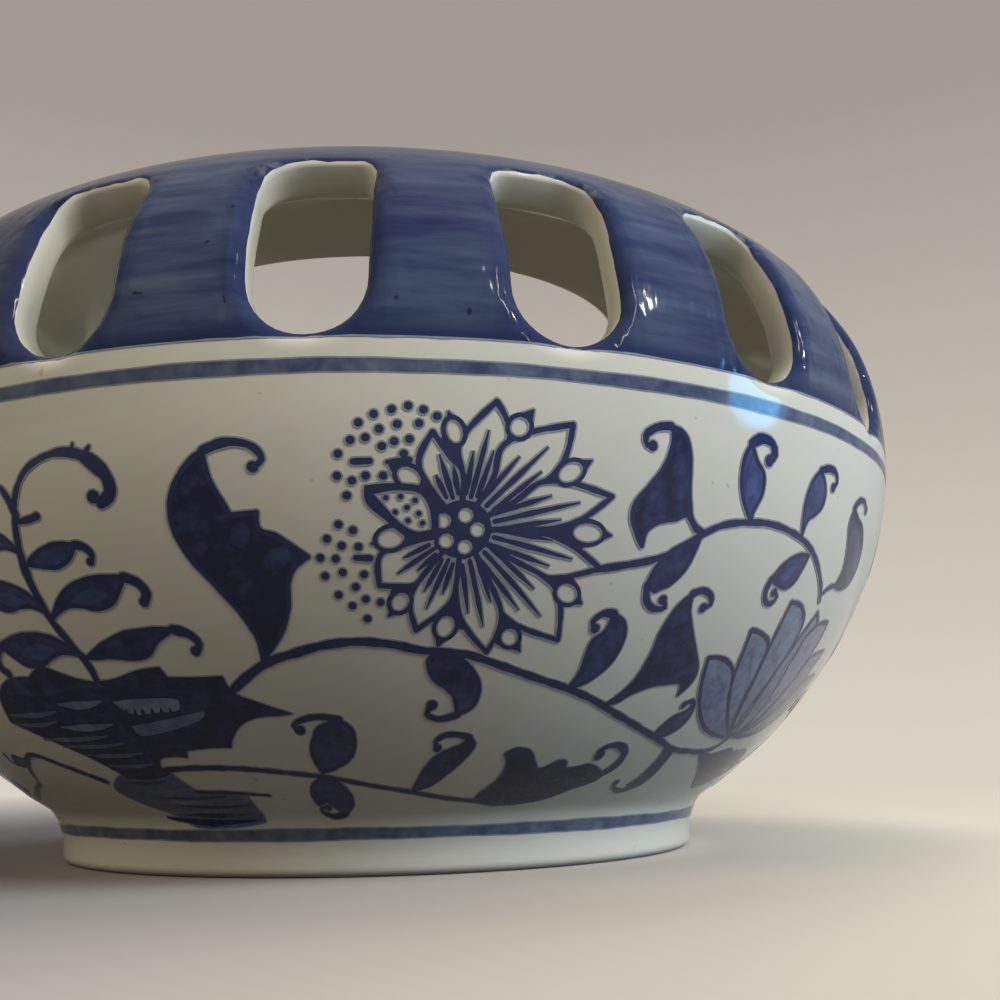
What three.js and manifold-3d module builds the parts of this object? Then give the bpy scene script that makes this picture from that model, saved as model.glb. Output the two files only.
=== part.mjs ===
// Potpourri jar: a low, wide porcelain jar with an open mouth and a ring of tall slots in the shoulder.
// Millimetres, +Z up. The origin is the centre of the face that the jar stands on, and -Y is the front.
// The real wall is one thrown piece, so it is made as one solid and then parted into its named zones.
import * as THREE from "three";
import { mergeVertices } from "three/addons/utils/BufferGeometryUtils.js";
import Module from "manifold-3d";

// Driving dimensions of the body
const BELLY_DIAMETER = 130;
const BELLY_HEIGHT = 46;
const SHOULDER_RISE = 25;
const WALL = 3.8;

// Foot and floor
const FOOT_DIAMETER = 77.2;
const FOOT_HEIGHT = 6;
const FOOT_BEVEL = 1;
const FOOT_FLARE = 1.7;
const FOOT_RIM = 4.2;
const FOOT_DRAFT = 0.8;
const RECESS = 3.4;
const FLOOR_THICKNESS = 4.2;

// Mouth
const MOUTH_DIAMETER = 63;
const LIP_THICKNESS = 4.2;
const LIP_DROP = 0.9;
const CROWN_WIDTH = 10.4;

// Slots, and the painted borders below them
const SLOT_COUNT = 18;
const SLOT_WIDTH = 10.4;
const SLOT_CORNER = 3;
const SLOT_BELOW_BELLY = 0.9;
const SLOT_BELOW_CREST = 7.4;
const LINE_BELOW_BELLY = 3.7;

// How finely the round shapes are divided
const SEGMENTS = 4 * SLOT_COUNT;
const BELLY_STEPS = 7;
const SHOULDER_STEPS = 7;
const CROWN_STEPS = 2;
const LIP_STEPS = 5;
const SLOT_ARC_POINTS = 3;

// Sizes worked out from those above
const belly = BELLY_DIAMETER / 2;
const height = BELLY_HEIGHT + SHOULDER_RISE;
const footBottom = FOOT_DIAMETER / 2;
const footTop = footBottom + FOOT_FLARE;
const rimInner = footBottom - FOOT_RIM;
const lipRadius = LIP_THICKNESS / 2;
const lipCentre = MOUTH_DIAMETER / 2 + lipRadius;
const lipZ = height - LIP_DROP - lipRadius;
const crest = lipCentre + CROWN_WIDTH;
const slotHalf = SLOT_WIDTH / 2;
const slotBottomZ = BELLY_HEIGHT - SLOT_BELOW_BELLY;
const slotTopZ = height - SLOT_BELOW_CREST;
const floorRadius = rimInner - FOOT_DRAFT - 0.8;
const lipOuter = lipCentre + lipRadius;

const wasm = await Module();
wasm.setup();

const point = (r, z) => new THREE.Vector2(r, z);

// The outline of the outside, from the foot to the widest place, over the shoulder and on to the mouth.
function bellyCurve() {
  const rise = BELLY_HEIGHT - FOOT_HEIGHT;
  return new THREE.CubicBezierCurve(
    point(footTop, FOOT_HEIGHT),
    point(footTop + 0.51 * (belly - footTop), FOOT_HEIGHT + 0.194 * rise),
    point(belly, BELLY_HEIGHT - 0.409 * rise),
    point(belly, BELLY_HEIGHT),
  );
}

function shoulderCurve() {
  return new THREE.CubicBezierCurve(
    point(belly, BELLY_HEIGHT),
    point(belly, BELLY_HEIGHT + 0.74 * SHOULDER_RISE),
    point(crest + 0.34 * (belly - crest), height),
    point(crest, height),
  );
}

function crownCurve() {
  return new THREE.CubicBezierCurve(
    point(crest, height),
    point(crest - 0.4 * CROWN_WIDTH, height),
    point(lipCentre + 0.3 * CROWN_WIDTH, height - LIP_DROP),
    point(lipCentre, height - LIP_DROP),
  );
}

// Points along a curve with their twins on the inside, one wall thickness in along the normal.
function wallStations(curve, steps, first = 0) {
  const stations = [];
  for (let i = first; i <= steps; i++) {
    const outer = curve.getPointAt(i / steps);
    const along = curve.getTangentAt(i / steps);
    const inward = point(-along.y, along.x).multiplyScalar(WALL);
    stations.push({ outer, inner: outer.clone().add(inward) });
  }
  return stations;
}

// The closed half section of the jar: the underside, the outside, the lip, the inside and the floor.
function jarSection() {
  const stations = [
    ...wallStations(bellyCurve(), BELLY_STEPS),
    ...wallStations(shoulderCurve(), SHOULDER_STEPS, 1),
    ...wallStations(crownCurve(), CROWN_STEPS, 1),
  ];
  const underside = [
    point(0, RECESS),
    point(rimInner - FOOT_DRAFT, RECESS),
    point(rimInner, 0),
    point(footBottom - FOOT_BEVEL, 0),
    point(footBottom - 0.3 * FOOT_BEVEL, 0.3 * FOOT_BEVEL),
    point(footBottom, FOOT_BEVEL),
  ];
  const lip = [];
  for (let i = 1; i <= LIP_STEPS; i++) {
    const turn = Math.PI / 2 + (Math.PI * i) / LIP_STEPS;
    lip.push(point(lipCentre + lipRadius * Math.cos(turn), lipZ + lipRadius * Math.sin(turn)));
  }
  const inside = stations.slice(0, -1).map((station) => station.inner).reverse();
  const heel = inside[inside.length - 1];
  const floorTop = RECESS + FLOOR_THICKNESS;
  const floor = [
    point(heel.x - 2.2, floorTop + 0.35 * (heel.y - floorTop)),
    point(heel.x - 5, floorTop),
    point(0, floorTop),
  ];
  return [...underside, ...stations.map((station) => station.outer), ...lip, ...inside, ...floor];
}

function solidFrom(geometry) {
  for (const name of ["normal", "uv"]) geometry.deleteAttribute(name);
  const merged = mergeVertices(geometry, 1e-4);
  return new wasm.Manifold(
    new wasm.Mesh({
      numProp: 3,
      vertProperties: new Float32Array(merged.attributes.position.array),
      triVerts: new Uint32Array(merged.index.array),
    }),
  );
}

function geometryFrom(solid) {
  const mesh = solid.getMesh();
  const geometry = new THREE.BufferGeometry();
  geometry.setAttribute("position", new THREE.BufferAttribute(mesh.vertProperties, 3));
  geometry.setIndex(new THREE.BufferAttribute(mesh.triVerts, 1));
  geometry.computeVertexNormals();
  return geometry;
}

// Lathes and cylinders stand on Y and start at +Z. This turn stands them on Z and starts them at -Y.
const standUp = (geometry) => geometry.rotateX(Math.PI / 2);

function drum(radius, bottom, top) {
  const cylinder = new THREE.CylinderGeometry(radius, radius, top - bottom, SEGMENTS);
  return solidFrom(standUp(cylinder).translate(0, 0, (bottom + top) / 2));
}

// The slots run straight from the widest place to this place on the shoulder, and are cut square to that line.
// The wall is cut at a slant at their upper end, so the cut comes out lower on the inside, by slotDrop.
const upperEnd = (() => {
  const curve = shoulderCurve();
  const steps = 400;
  let i = 0;
  while (i < steps && curve.getPoint(i / steps).y < slotTopZ) i++;
  const along = curve.getTangent(i / steps);
  return { at: curve.getPoint(i / steps), lean: Math.atan2(-along.x, along.y) };
})();
const slotChord = point(belly - upperEnd.at.x, upperEnd.at.y - slotBottomZ);
const slotTilt = Math.atan2(slotChord.x, slotChord.y);
const slotLength = slotChord.length();
const slotDrop = (WALL * Math.sin(slotTilt)) / Math.cos(upperEnd.lean - slotTilt);

// Where the zones part: the ribs end a little inside the round ends of the slots, so that no edge is thin.
const sillBottomZ = BELLY_HEIGHT - LINE_BELOW_BELLY;
const sillTopZ = slotBottomZ + 0.5 * slotHalf;
const ribTopZ = slotTopZ - slotDrop - 0.4 * SLOT_CORNER;

// One slot seen from outside: a round lower end, straight sides and a squarer top.
function slotOutline() {
  const shape = new THREE.Shape();
  shape.absarc(0, slotHalf, slotHalf, Math.PI, 2 * Math.PI, false);
  shape.absarc(slotHalf - SLOT_CORNER, slotLength - SLOT_CORNER, SLOT_CORNER, 0, Math.PI / 2, false);
  shape.absarc(SLOT_CORNER - slotHalf, slotLength - SLOT_CORNER, SLOT_CORNER, Math.PI / 2, Math.PI, false);
  shape.closePath();
  return shape;
}

// The knife for one slot reaches through the wall, outwards and a little upwards.
function slotKnife(azimuth) {
  const inside = 0.4 * belly;
  const outside = 0.15 * belly;
  const knife = new THREE.ExtrudeGeometry(slotOutline(), {
    depth: inside + outside,
    bevelEnabled: false,
    curveSegments: SLOT_ARC_POINTS,
  });
  knife
    .translate(0, 0, -inside)
    .rotateX(Math.PI / 2 - slotTilt)
    .translate(0, -belly, slotBottomZ)
    .rotateZ(azimuth);
  return solidFrom(knife);
}

function slottedJar() {
  let solid = solidFrom(standUp(new THREE.LatheGeometry(jarSection(), SEGMENTS)));
  for (let i = 0; i < SLOT_COUNT; i++) {
    solid = solid.subtract(slotKnife((2 * Math.PI * i) / SLOT_COUNT));
  }
  return solid;
}

const whole = slottedJar();
const outsideAll = belly + 10;
const underAll = -10;
const overAll = height + 10;

// The part of the jar between two heights, outside one radius and inside another.
function zone(bottom, top, innerRadius, outerRadius = outsideAll) {
  const piece = whole.intersect(drum(outerRadius, bottom, top));
  return innerRadius > 0 ? piece.subtract(drum(innerRadius, bottom - 1, top + 1)) : piece;
}

// The ribs between the slots, each a solid of its own, counted to the right from the front slot.
function ribs() {
  const turn = (solid) => {
    const { min, max } = solid.boundingBox();
    const angle = Math.atan2(min[0] + max[0], -(min[1] + max[1]));
    return angle < 0 ? angle + 2 * Math.PI : angle;
  };
  return zone(sillTopZ, ribTopZ, lipOuter)
    .decompose()
    .sort((a, b) => turn(a) - turn(b));
}

const porcelain = () => new THREE.MeshStandardMaterial({ color: 0xd6d9d2, roughness: 0.14, metalness: 0 });
const cobalt = () => new THREE.MeshStandardMaterial({ color: 0x36416b, roughness: 0.16, metalness: 0 });

const jar = new THREE.Group();
jar.name = "potpourri_jar";

function add(name, solid, material) {
  const mesh = new THREE.Mesh(geometryFrom(solid), material);
  mesh.name = name;
  jar.add(mesh);
}

add("foot_ring", zone(underAll, FOOT_HEIGHT, floorRadius), porcelain());
add("floor", zone(underAll, BELLY_HEIGHT, 0, floorRadius), porcelain());
add("belly_wall", zone(FOOT_HEIGHT, sillBottomZ, floorRadius), porcelain());
add("slot_sill_ring", zone(sillBottomZ, sillTopZ, lipOuter), cobalt());
ribs().forEach((rib, i) => add(`shoulder_rib_${String(i + 1).padStart(2, "0")}`, rib, cobalt()));
add("crown_ring", zone(ribTopZ, overAll, lipOuter), cobalt());
add("mouth_lip", zone(ribTopZ, overAll, 0, lipOuter), cobalt());

export default jar;
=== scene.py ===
"""The looks of a potpourri jar: a slotted porcelain jar with a cobalt shoulder and a painted blue scroll.

Sizes are in millimetres and degrees, and are turned into metres when a mesh is made. A place on the wall is
given by its turn, in degrees round the jar from the front and positive to the right, its rise, in millimetres
along the outside of the wall from the top of the foot, and its depth, in millimetres into the wall.
"""

import math

import bpy
import numpy as np
from mathutils import Euler, Matrix, Vector
from mathutils.geometry import delaunay_2d_cdt


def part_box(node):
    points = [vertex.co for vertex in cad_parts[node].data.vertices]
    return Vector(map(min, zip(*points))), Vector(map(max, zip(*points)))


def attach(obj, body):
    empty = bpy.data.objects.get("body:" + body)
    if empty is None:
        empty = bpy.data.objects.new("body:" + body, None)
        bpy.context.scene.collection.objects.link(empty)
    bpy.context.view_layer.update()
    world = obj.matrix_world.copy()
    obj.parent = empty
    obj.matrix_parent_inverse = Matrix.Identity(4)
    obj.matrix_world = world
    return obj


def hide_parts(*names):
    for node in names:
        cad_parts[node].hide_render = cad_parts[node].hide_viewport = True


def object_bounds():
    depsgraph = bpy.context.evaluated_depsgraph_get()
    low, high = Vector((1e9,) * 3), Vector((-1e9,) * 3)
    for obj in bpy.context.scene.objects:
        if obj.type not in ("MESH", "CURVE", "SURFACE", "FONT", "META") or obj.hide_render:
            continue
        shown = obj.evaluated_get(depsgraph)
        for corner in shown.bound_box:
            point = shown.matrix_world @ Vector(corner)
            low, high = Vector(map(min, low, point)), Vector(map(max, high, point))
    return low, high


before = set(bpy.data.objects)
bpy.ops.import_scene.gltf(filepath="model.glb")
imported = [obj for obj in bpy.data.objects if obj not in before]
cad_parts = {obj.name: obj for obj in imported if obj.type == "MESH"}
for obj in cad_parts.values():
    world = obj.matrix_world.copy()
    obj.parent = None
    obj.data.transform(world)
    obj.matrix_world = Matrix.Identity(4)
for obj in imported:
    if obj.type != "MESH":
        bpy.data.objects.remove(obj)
CAD_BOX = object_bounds()

bl_info = {
    "name": "Potpourri jar",
    "version": (1, 0, 0),
    "blender": (4, 5, 0),
    "location": "View3D > Sidebar > Potpourri jar",
    "description": "Makes a slotted porcelain potpourri jar with a painted blue scroll",
    "category": "Object",
}

MM = 0.001
BODY = "root"

# What the CAD frame gives
BELLY_RADIUS = CAD_BOX[1].x / MM
HEIGHT = CAD_BOX[1].z / MM
FOOT_TOP_RADIUS, _, FOOT_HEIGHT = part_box("foot_ring")[1] / MM
LIP_OUTSIDE, _, LIP_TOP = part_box("mouth_lip")[1] / MM
SLOT_COUNT = sum(name.startswith("shoulder_rib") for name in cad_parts)
PITCH = 360 / SLOT_COUNT

# How finely the shapes are divided
OUTLINE_STEPS = 200
FOOT_STEPS = 12
CROWN_STEPS = 60
SIDE_POINTS = 60
CORNER_POINTS = 40
BASE_STEPS = 12
SIDE_STEPS = 16
RIB_STEPS = 5
EDGE_STEPS = 5
FLAT_STEPS = 14
LIP_STEPS = 14
COLUMNS = BASE_STEPS * SLOT_COUNT
TURNS = np.linspace(-PITCH / 2, 360 - PITCH / 2, COLUMNS + 1)

# Where the handles of the outline's curves lie, as shares of the width and the rise of each stretch
FOOT_HANDLES = (0.4, 0.75)
BELLY_HANDLES = (0.51, 0.194, 0.409)
SHOULDER_HANDLES = (0.74, 0.34)
CROWN_HANDLES = (0.4, 0.3)

# How far the foot bows outwards, how far the rounding inside reaches over the floor, and its handles
FOOT_BOW = 0.3
HEEL_REACH = 6.5
HEEL_HANDLES = ((1.9, 1.15), 3.6)

# The mouth's rolled edge ends at one angle and its paint at another, and the wall inside ends before it
LIP_END = 262
LIP_PAINT_END = 150
INNER_GAP = 1.2

# The grid of the wall round a slot reaches past it by these shares of the soft edge's width, and the straight
# part of the grid begins on the slot's round lower end at this angle
ZONE_BELOW = 1.4
ZONE_ABOVE = 1.9
SLOT_TURN_IN = -35
SLOT_PROBE = 0.05

# A slot's upper left and right corners are rounder or sharper by these factors, six pairs in turn
CORNERS = ((1.4, 0.65), (0.65, 1.4), (0.75, 1.25), (1.1, 0.8), (0.85, 1.05), (1.25, 0.85))

# From this share of a slot's height its upper end begins, where the soft edge is narrower and shallower
UPPER_END = 0.84
UPPER_NARROWER = 0.45
UPPER_SHALLOWER = 0.5

# How far the paint goes over the soft edge, in degrees, how much less at the upper end, and how ragged it
# ends at the sides and by how much more at the upper end
PAINT_REACH = 74
PAINT_REACH_LOST = 38
RAGGED_SIDE = 0.5
RAGGED_UPPER = 1.3

# Waves for the function of that name: how the slots wander, with about how far those waves swing and how far
# they fade out past the slots, how ragged the paint ends, and the edges of the painted lines
SIDE_WAVES = ((1.0, 11, 0.21, 0.0), (0.7, 25, -0.17, 1.3), (0.3, 47, 0.6, 0.0))
UP_WAVES = ((1.0, 9, 0.0, 0.5), (0.6, 31, 0.4, 2.1), (0.3, 64, 0.0, 1.0))
WAVE_SWING = 1.6
WANDER_MARGINS = (3, 2)
RAGGED_WAVES = ((3.0, 5, 1.0, 0.0), (2.0, 11, 2.3, 0.0), (2.5, 19, 1.7, 0.0))
LOW_EDGE_WAVES = ((0.06, 7, 0.0, 0.0), (0.03, 23, 0.0, 1.0), (0.015, 83, 0.0, 0.0))
HIGH_EDGE_WAVES = ((0.05, 9, 0.0, 2.0), (0.03, 31, 0.0, 0.0), (0.015, 71, 0.0, 1.0))

# Points closer than this are merged, in a skin and in a film, and thinner faces of a skin are dissolved
SKIN_MERGE = 0.004
FILM_MERGE = 0.002
SLIVER = 0.001

# Faces that meet at less than this angle, in degrees, are shaded as one smooth surface
SMOOTH_ANGLE = 50

# The scroll is drawn once, on a tile from one turn to another, and laid on the jar twice
TILE = 180.0
TILE_START = -50.0
TILE_LOW = -6.0
TILE_HIGH = 60.0

# A degree of turn is about this many millimetres where the scroll is painted
SQUASH = 1.07

# How finely the scroll is divided: steps on its curves, points between them, points round a disc, the
# smallest loop, and the most faces in a film
CURVE_STEP = 0.55
FILL_STEP = 1.5
FILL_ROW = 0.87
FILL_START = -3
CELL = 0.5
DISC_POINTS = 9
DISC_POINTS_PER_MM = 12
SMALLEST = 1e-4
FILM_FACES = 62000

# What the crown counts as: this far from any slot
CROWN_DISTANCE = 9.0

# The tones of paint on the scroll
BARE, BLEED, LINE, LEAF, PETAL = range(5)


def length(name, description, default, low=0.0, high=200.0):
    """A size in millimetres that a user may change."""
    return bpy.props.FloatProperty(
        name=name, description=f"{description}, mm", default=default, min=low, max=high, precision=2
    )


def colour(name, description, default):
    """A colour that a user may change."""
    return bpy.props.FloatVectorProperty(
        name=name, description=f"Colour {description}", default=default, size=3, subtype="COLOR",
        min=0.0, max=1.0,
    )


def degrees(name, description, default):
    """An angle that a user may change."""
    return bpy.props.FloatProperty(
        name=name, description=description, default=math.radians(default), subtype="ANGLE"
    )


class JarShape(bpy.types.PropertyGroup):
    """Sizes of the porcelain body."""

    belly_height: length("Belly height", "Height of the widest place", 46.0)
    crest_radius: length("Crest radius", "Radius at which the shoulder is highest", 44.0)
    wall: length("Wall", "Thickness of the wall", 3.8, 0.5, 10.0)
    foot_radius: length("Foot radius", "Outer radius of the foot near the ground", 38.6)
    foot_rim: length("Foot rim", "Inner radius of the flat face of the foot", 34.4)
    foot_round: length("Foot rounding", "Radius of the lower outer edge of the foot", 1.0)
    recess: length("Recess", "Depth of the hollow under the foot", 3.4)
    floor_top: length("Floor top", "Height of the inside of the floor", 7.6)
    mouth_radius: length("Mouth radius", "Clear radius of the mouth", 31.5)
    slot_width: length("Slot width", "Width of one slot", 10.4)
    slot_corner: length("Slot corner", "Radius of a slot's upper corners", 3.0)
    slot_bottom: length("Slot bottom", "Height of the lower end of the slots", 45.1)
    slot_top: length("Slot top", "Height of the upper end of the slots", 63.6)
    edge_width: length("Edge width", "Width of the soft outer edge of a slot", 1.6)
    edge_drop: length("Edge drop", "Depth of the soft outer edge of a slot", 1.2)
    inner_round: length("Inner rounding", "Size of the soft inner edge of a slot", 0.9)
    unevenness: length("Unevenness", "How far the hand-cut slots wander", 0.22)


class JarPaint(bpy.types.PropertyGroup):
    """Sizes and colours of the paint and the glaze."""

    lift: length("Lift", "How far a film of paint stands on the body", 0.04)
    film: length("Film", "Thickness of a film of paint, most of it sunk in the body", 0.12)
    band_bottom: length("Band bottom", "Height of the lower border of the blue shoulder", 44.8)
    shoulder_line: length("Shoulder line", "Height of the middle of the line below the shoulder", 42.3)
    foot_line: length("Foot line", "Height of the middle of the line at the foot", 4.1)
    line_width: length("Line width", "Width of the two lines round the jar", 1.05)
    bleed: length("Bleed", "How far the paint bleeds under the glaze", 0.15)
    porcelain: colour("Porcelain", "of the glazed porcelain", (0.62, 0.61, 0.535))
    speck: colour("Speck", "of the specks in the porcelain", (0.30, 0.27, 0.22))
    # The darker colour of the cut faces and the inside is painted shade
    inside_shade: colour("Inner glaze", "of the thin glaze of cut faces and inside", (0.50, 0.48, 0.40))
    unglazed: colour("Unglazed", "of the bare rim of the foot", (0.56, 0.53, 0.46))
    bleed_tone: colour("Bleed", "of the paint that bled under the glaze", (0.21, 0.23, 0.29))
    bleed_pale: colour("Bleed, pale", "of the bled paint where it is thin", (0.34, 0.36, 0.40))
    ring: colour("Ring", "of the two lines round the jar", (0.05, 0.064, 0.13))
    ring_pale: colour("Ring, pale", "of those lines where they run thin", (0.15, 0.18, 0.25))
    line: colour("Line", "of the brush lines", (0.011, 0.017, 0.078))
    line_pale: colour("Line, pale", "of the brush lines where they run thin", (0.028, 0.042, 0.125))
    leaf: colour("Leaf", "of the leaf washes", (0.006, 0.010, 0.048))
    leaf_pale: colour("Leaf, pale", "of the leaf washes where they run thin", (0.050, 0.085, 0.24))
    petal: colour("Petal", "of the petal washes", (0.080, 0.11, 0.215))
    petal_pale: colour("Petal, pale", "of the petal washes where they run thin", (0.27, 0.315, 0.41))
    band_dark: colour("Band, dark", "of the shoulder where the paint pools", (0.018, 0.027, 0.088))
    band_light: colour("Band, light", "of the shoulder where the brush ran dry", (0.080, 0.108, 0.170))
    band_purple: colour("Band, purple", "of the warmer patches of the shoulder", (0.042, 0.035, 0.085))
    # The pale places over the slots are partly wear and partly painted highlight
    band_wear_and_highlight: colour("Band, worn", "of the worn places over the slots", (0.30, 0.31, 0.29))
    # The broken dark line over the slots is painted shade
    band_rim_shade: colour("Band, rim", "of the broken line over the slots", (0.012, 0.014, 0.024))
    band_speck: colour("Band, speck", "of the specks in the shoulder", (0.006, 0.008, 0.03))


class JarStudio(bpy.types.PropertyGroup):
    """The camera, the room and the floor."""

    lens: bpy.props.FloatProperty(name="Lens", description="Focal length, mm", default=41.26, min=10.0)
    tilt: degrees("Tilt", "How far the camera looks up", 12.44)
    roll: degrees("Roll", "How far the camera leans", -1.17)
    room: bpy.props.FloatProperty(name="Room", description="Strength of its light", default=0.33, min=0.0)
    room_left: colour("Room, left", "of the light from the left", (1.0, 0.86, 0.66))
    room_right: colour("Room, right", "of the light from the right", (0.9, 0.97, 1.0))
    # The floor is darker at the left, as painted shadow, and lighter at the right, as painted light
    floor: colour("Floor", "of the floor at the left", (0.20, 0.198, 0.235))
    floor_painted_light: colour("Floor, right", "of the floor at the right", (0.70, 0.64, 0.53))
    floor_lit: colour("Floor, lit", "of the floor where it lights the jar", (0.11, 0.105, 0.10))
    backdrop: colour("Backdrop", "behind the jar, high up", (0.37, 0.325, 0.30))
    backdrop_low: colour("Backdrop, low", "behind the jar, near the floor", (0.70, 0.645, 0.555))


def shape():
    return bpy.context.scene.jar_shape


def paint():
    return bpy.context.scene.jar_paint


def studio():
    return bpy.context.scene.jar_studio


# Curves and the wall


def bezier(a, b, c, d, steps):
    """Points along a cubic curve."""
    t = np.linspace(0, 1, steps + 1)[:, None]
    a, b, c, d = (np.array(p, float) for p in (a, b, c, d))
    return (1 - t) ** 3 * a + 3 * (1 - t) ** 2 * t * b + 3 * (1 - t) * t**2 * c + t**3 * d


def runs(points):
    """How far along a line of points each one is."""
    return np.concatenate([[0], np.cumsum(np.hypot(*np.diff(points, axis=0).T))])


def rightward(ways):
    """Steps of one millimetre to the right of each of some ways."""
    return np.stack([ways[:, 1], -ways[:, 0]], 1) / np.hypot(*ways.T)[:, None]


def waves(angle, other, terms):
    """A sum of waves, each with its size, its count, how much another value shifts it, and its phase."""
    return sum(size * np.sin(count * angle + shift * other + phase) for size, count, shift, phase in terms)


def spun(radius, height, turn):
    """Points in space, in metres, from a radius, a height and a turn."""
    angle = np.radians(turn)
    return np.stack([radius * np.sin(angle), -radius * np.cos(angle), height + 0 * angle], -1) * MM


class Wall:
    """The outside of the wall, from the foot to the mouth, and the way from it into the wall."""

    def measure(self):
        """Works the outline out from the sizes that are set."""
        s = shape()
        self.lip_radius = (LIP_OUTSIDE - s.mouth_radius) / 2
        self.lip_centre = LIP_OUTSIDE - self.lip_radius
        rise = s.belly_height - FOOT_HEIGHT
        swell = BELLY_RADIUS - FOOT_TOP_RADIUS
        shoulder_rise = HEIGHT - s.belly_height
        crown = s.crest_radius - self.lip_centre
        foot = bezier(
            (s.foot_radius, s.foot_round),
            (s.foot_radius, FOOT_HANDLES[0] * FOOT_HEIGHT),
            (s.foot_radius + FOOT_BOW, FOOT_HANDLES[1] * FOOT_HEIGHT),
            (FOOT_TOP_RADIUS, FOOT_HEIGHT),
            FOOT_STEPS,
        )
        belly = bezier(
            (FOOT_TOP_RADIUS, FOOT_HEIGHT),
            (FOOT_TOP_RADIUS + BELLY_HANDLES[0] * swell, FOOT_HEIGHT + BELLY_HANDLES[1] * rise),
            (BELLY_RADIUS, s.belly_height - BELLY_HANDLES[2] * rise),
            (BELLY_RADIUS, s.belly_height),
            OUTLINE_STEPS,
        )
        shoulder = bezier(
            (BELLY_RADIUS, s.belly_height),
            (BELLY_RADIUS, s.belly_height + SHOULDER_HANDLES[0] * shoulder_rise),
            (s.crest_radius + SHOULDER_HANDLES[1] * (BELLY_RADIUS - s.crest_radius), HEIGHT),
            (s.crest_radius, HEIGHT),
            OUTLINE_STEPS,
        )
        mouth = bezier(
            (s.crest_radius, HEIGHT),
            (s.crest_radius - CROWN_HANDLES[0] * crown, HEIGHT),
            (self.lip_centre + CROWN_HANDLES[1] * crown, LIP_TOP),
            (self.lip_centre, LIP_TOP),
            CROWN_STEPS,
        )
        self.line = np.vstack([foot, belly[1:], shoulder[1:], mouth[1:]])
        run = runs(self.line)
        self.run = run - run[FOOT_STEPS]
        self.start = self.run[0]
        self.end = self.run[-1]
        self.crest = float(self.run[np.argmax(self.line[:, 1])])
        self.out = rightward(np.gradient(self.line, self.run, axis=0))
        self.slot_low = self.rise_at(s.slot_bottom)
        self.slot_high = self.rise_at(s.slot_top)
        self.zone_low = self.slot_low - ZONE_BELOW * s.edge_width
        self.zone_high = self.slot_high + ZONE_ABOVE * s.edge_width

    def at(self, rise, depth=0.0):
        """The radius and height of places in the wall."""
        radius, height = (np.interp(rise, self.run, self.line[:, i]) for i in (0, 1))
        out_r, out_z = (np.interp(rise, self.run, self.out[:, i]) for i in (0, 1))
        size = np.hypot(out_r, out_z)
        return radius - depth * out_r / size, height - depth * out_z / size

    def rise_at(self, height):
        """The rise at a height below the crest."""
        below = self.run <= self.crest
        return np.interp(height, self.line[below, 1], self.run[below])

    def mm_per_degree(self, rise):
        return np.interp(rise, self.run, self.line[:, 0]) * math.pi / 180

    def wander(self, turn, rise):
        """Turns and rises moved by as much as the hand-cut slots and the borders near them stray."""
        low, high = self.zone_low - WANDER_MARGINS[0], self.zone_high + WANDER_MARGINS[1]
        middle = np.sin(np.pi * np.clip((rise - low) / (high - low), 0, 1)) ** 0.5
        reach = shape().unevenness * middle / WAVE_SWING
        angle = np.radians(turn)
        aside = reach * waves(angle, rise, SIDE_WAVES) / self.mm_per_degree(rise)
        return turn + aside, rise + reach * waves(angle, rise, UP_WAVES)

    def wrap(self, turn, rise, depth):
        """Places in the wall as points in space, in metres."""
        turn, rise = self.wander(turn, rise)
        radius, height = self.at(rise, depth)
        return spun(radius, height, turn)


WALL = Wall()


# Meshes


def select(*things):
    """Selects some objects, the first one active, and nothing else."""
    if bpy.context.mode != "OBJECT":
        bpy.ops.object.mode_set(mode="OBJECT")
    bpy.ops.object.select_all(action="DESELECT")
    for thing in things:
        thing.select_set(True)
    if things:
        bpy.context.view_layer.objects.active = things[0]


def edit(piece, operation, **settings):
    """Runs an edit mode operator on the whole of a piece."""
    select(piece)
    bpy.ops.object.mode_set(mode="EDIT")
    bpy.ops.mesh.select_all(action="SELECT")
    operation(**settings)
    bpy.ops.object.mode_set(mode="OBJECT")


def modify(piece, kind, **settings):
    """Adds a modifier to a piece and applies it."""
    select(piece)
    modifier = piece.modifiers.new(kind.lower(), kind)
    for setting, value in settings.items():
        setattr(modifier, setting, value)
    bpy.ops.object.modifier_apply(modifier=modifier.name)


def thicken(film):
    """Gives a film of paint its thickness, down into the body."""
    modify(film, "SOLIDIFY", thickness=paint().film * MM, offset=-1)


def grid_piece(name, places):
    """A grid of faces that is laid on an array of places, row by row."""
    rows, columns = places.shape[0] - 1, places.shape[1] - 1
    select()
    bpy.ops.mesh.primitive_grid_add(x_subdivisions=columns, y_subdivisions=rows, size=2, location=(0, 0, 0))
    piece = bpy.context.object
    piece.name = name
    mesh = piece.data
    if len(mesh.vertices) != (rows + 1) * (columns + 1):
        raise RuntimeError(f"{name}: the grid has {len(mesh.vertices)} points")
    flat = np.empty(len(mesh.vertices) * 3)
    mesh.vertices.foreach_get("co", flat)
    flat = flat.reshape(-1, 3)
    column = np.rint((flat[:, 0] + 1) / 2 * columns).astype(int)
    row = np.rint((flat[:, 1] + 1) / 2 * rows).astype(int)
    mesh.vertices.foreach_set("co", places[row, column].ravel())
    mesh.update()
    return piece


def joined(name, pieces, merge):
    """One piece of several, with the points that meet merged."""
    select(*pieces)
    if len(pieces) > 1:
        bpy.ops.object.join()
    whole = pieces[0]
    whole.name = whole.data.name = name
    edit(whole, bpy.ops.mesh.remove_doubles, threshold=merge * MM)
    return whole


def skin(name, grids):
    """One skin of several grids, with its faces pointing outwards."""
    piece = joined(name, grids, SKIN_MERGE)
    edit(piece, bpy.ops.mesh.dissolve_degenerate, threshold=SLIVER * MM)
    edit(piece, bpy.ops.mesh.normals_make_consistent, inside=False)
    return piece


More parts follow.
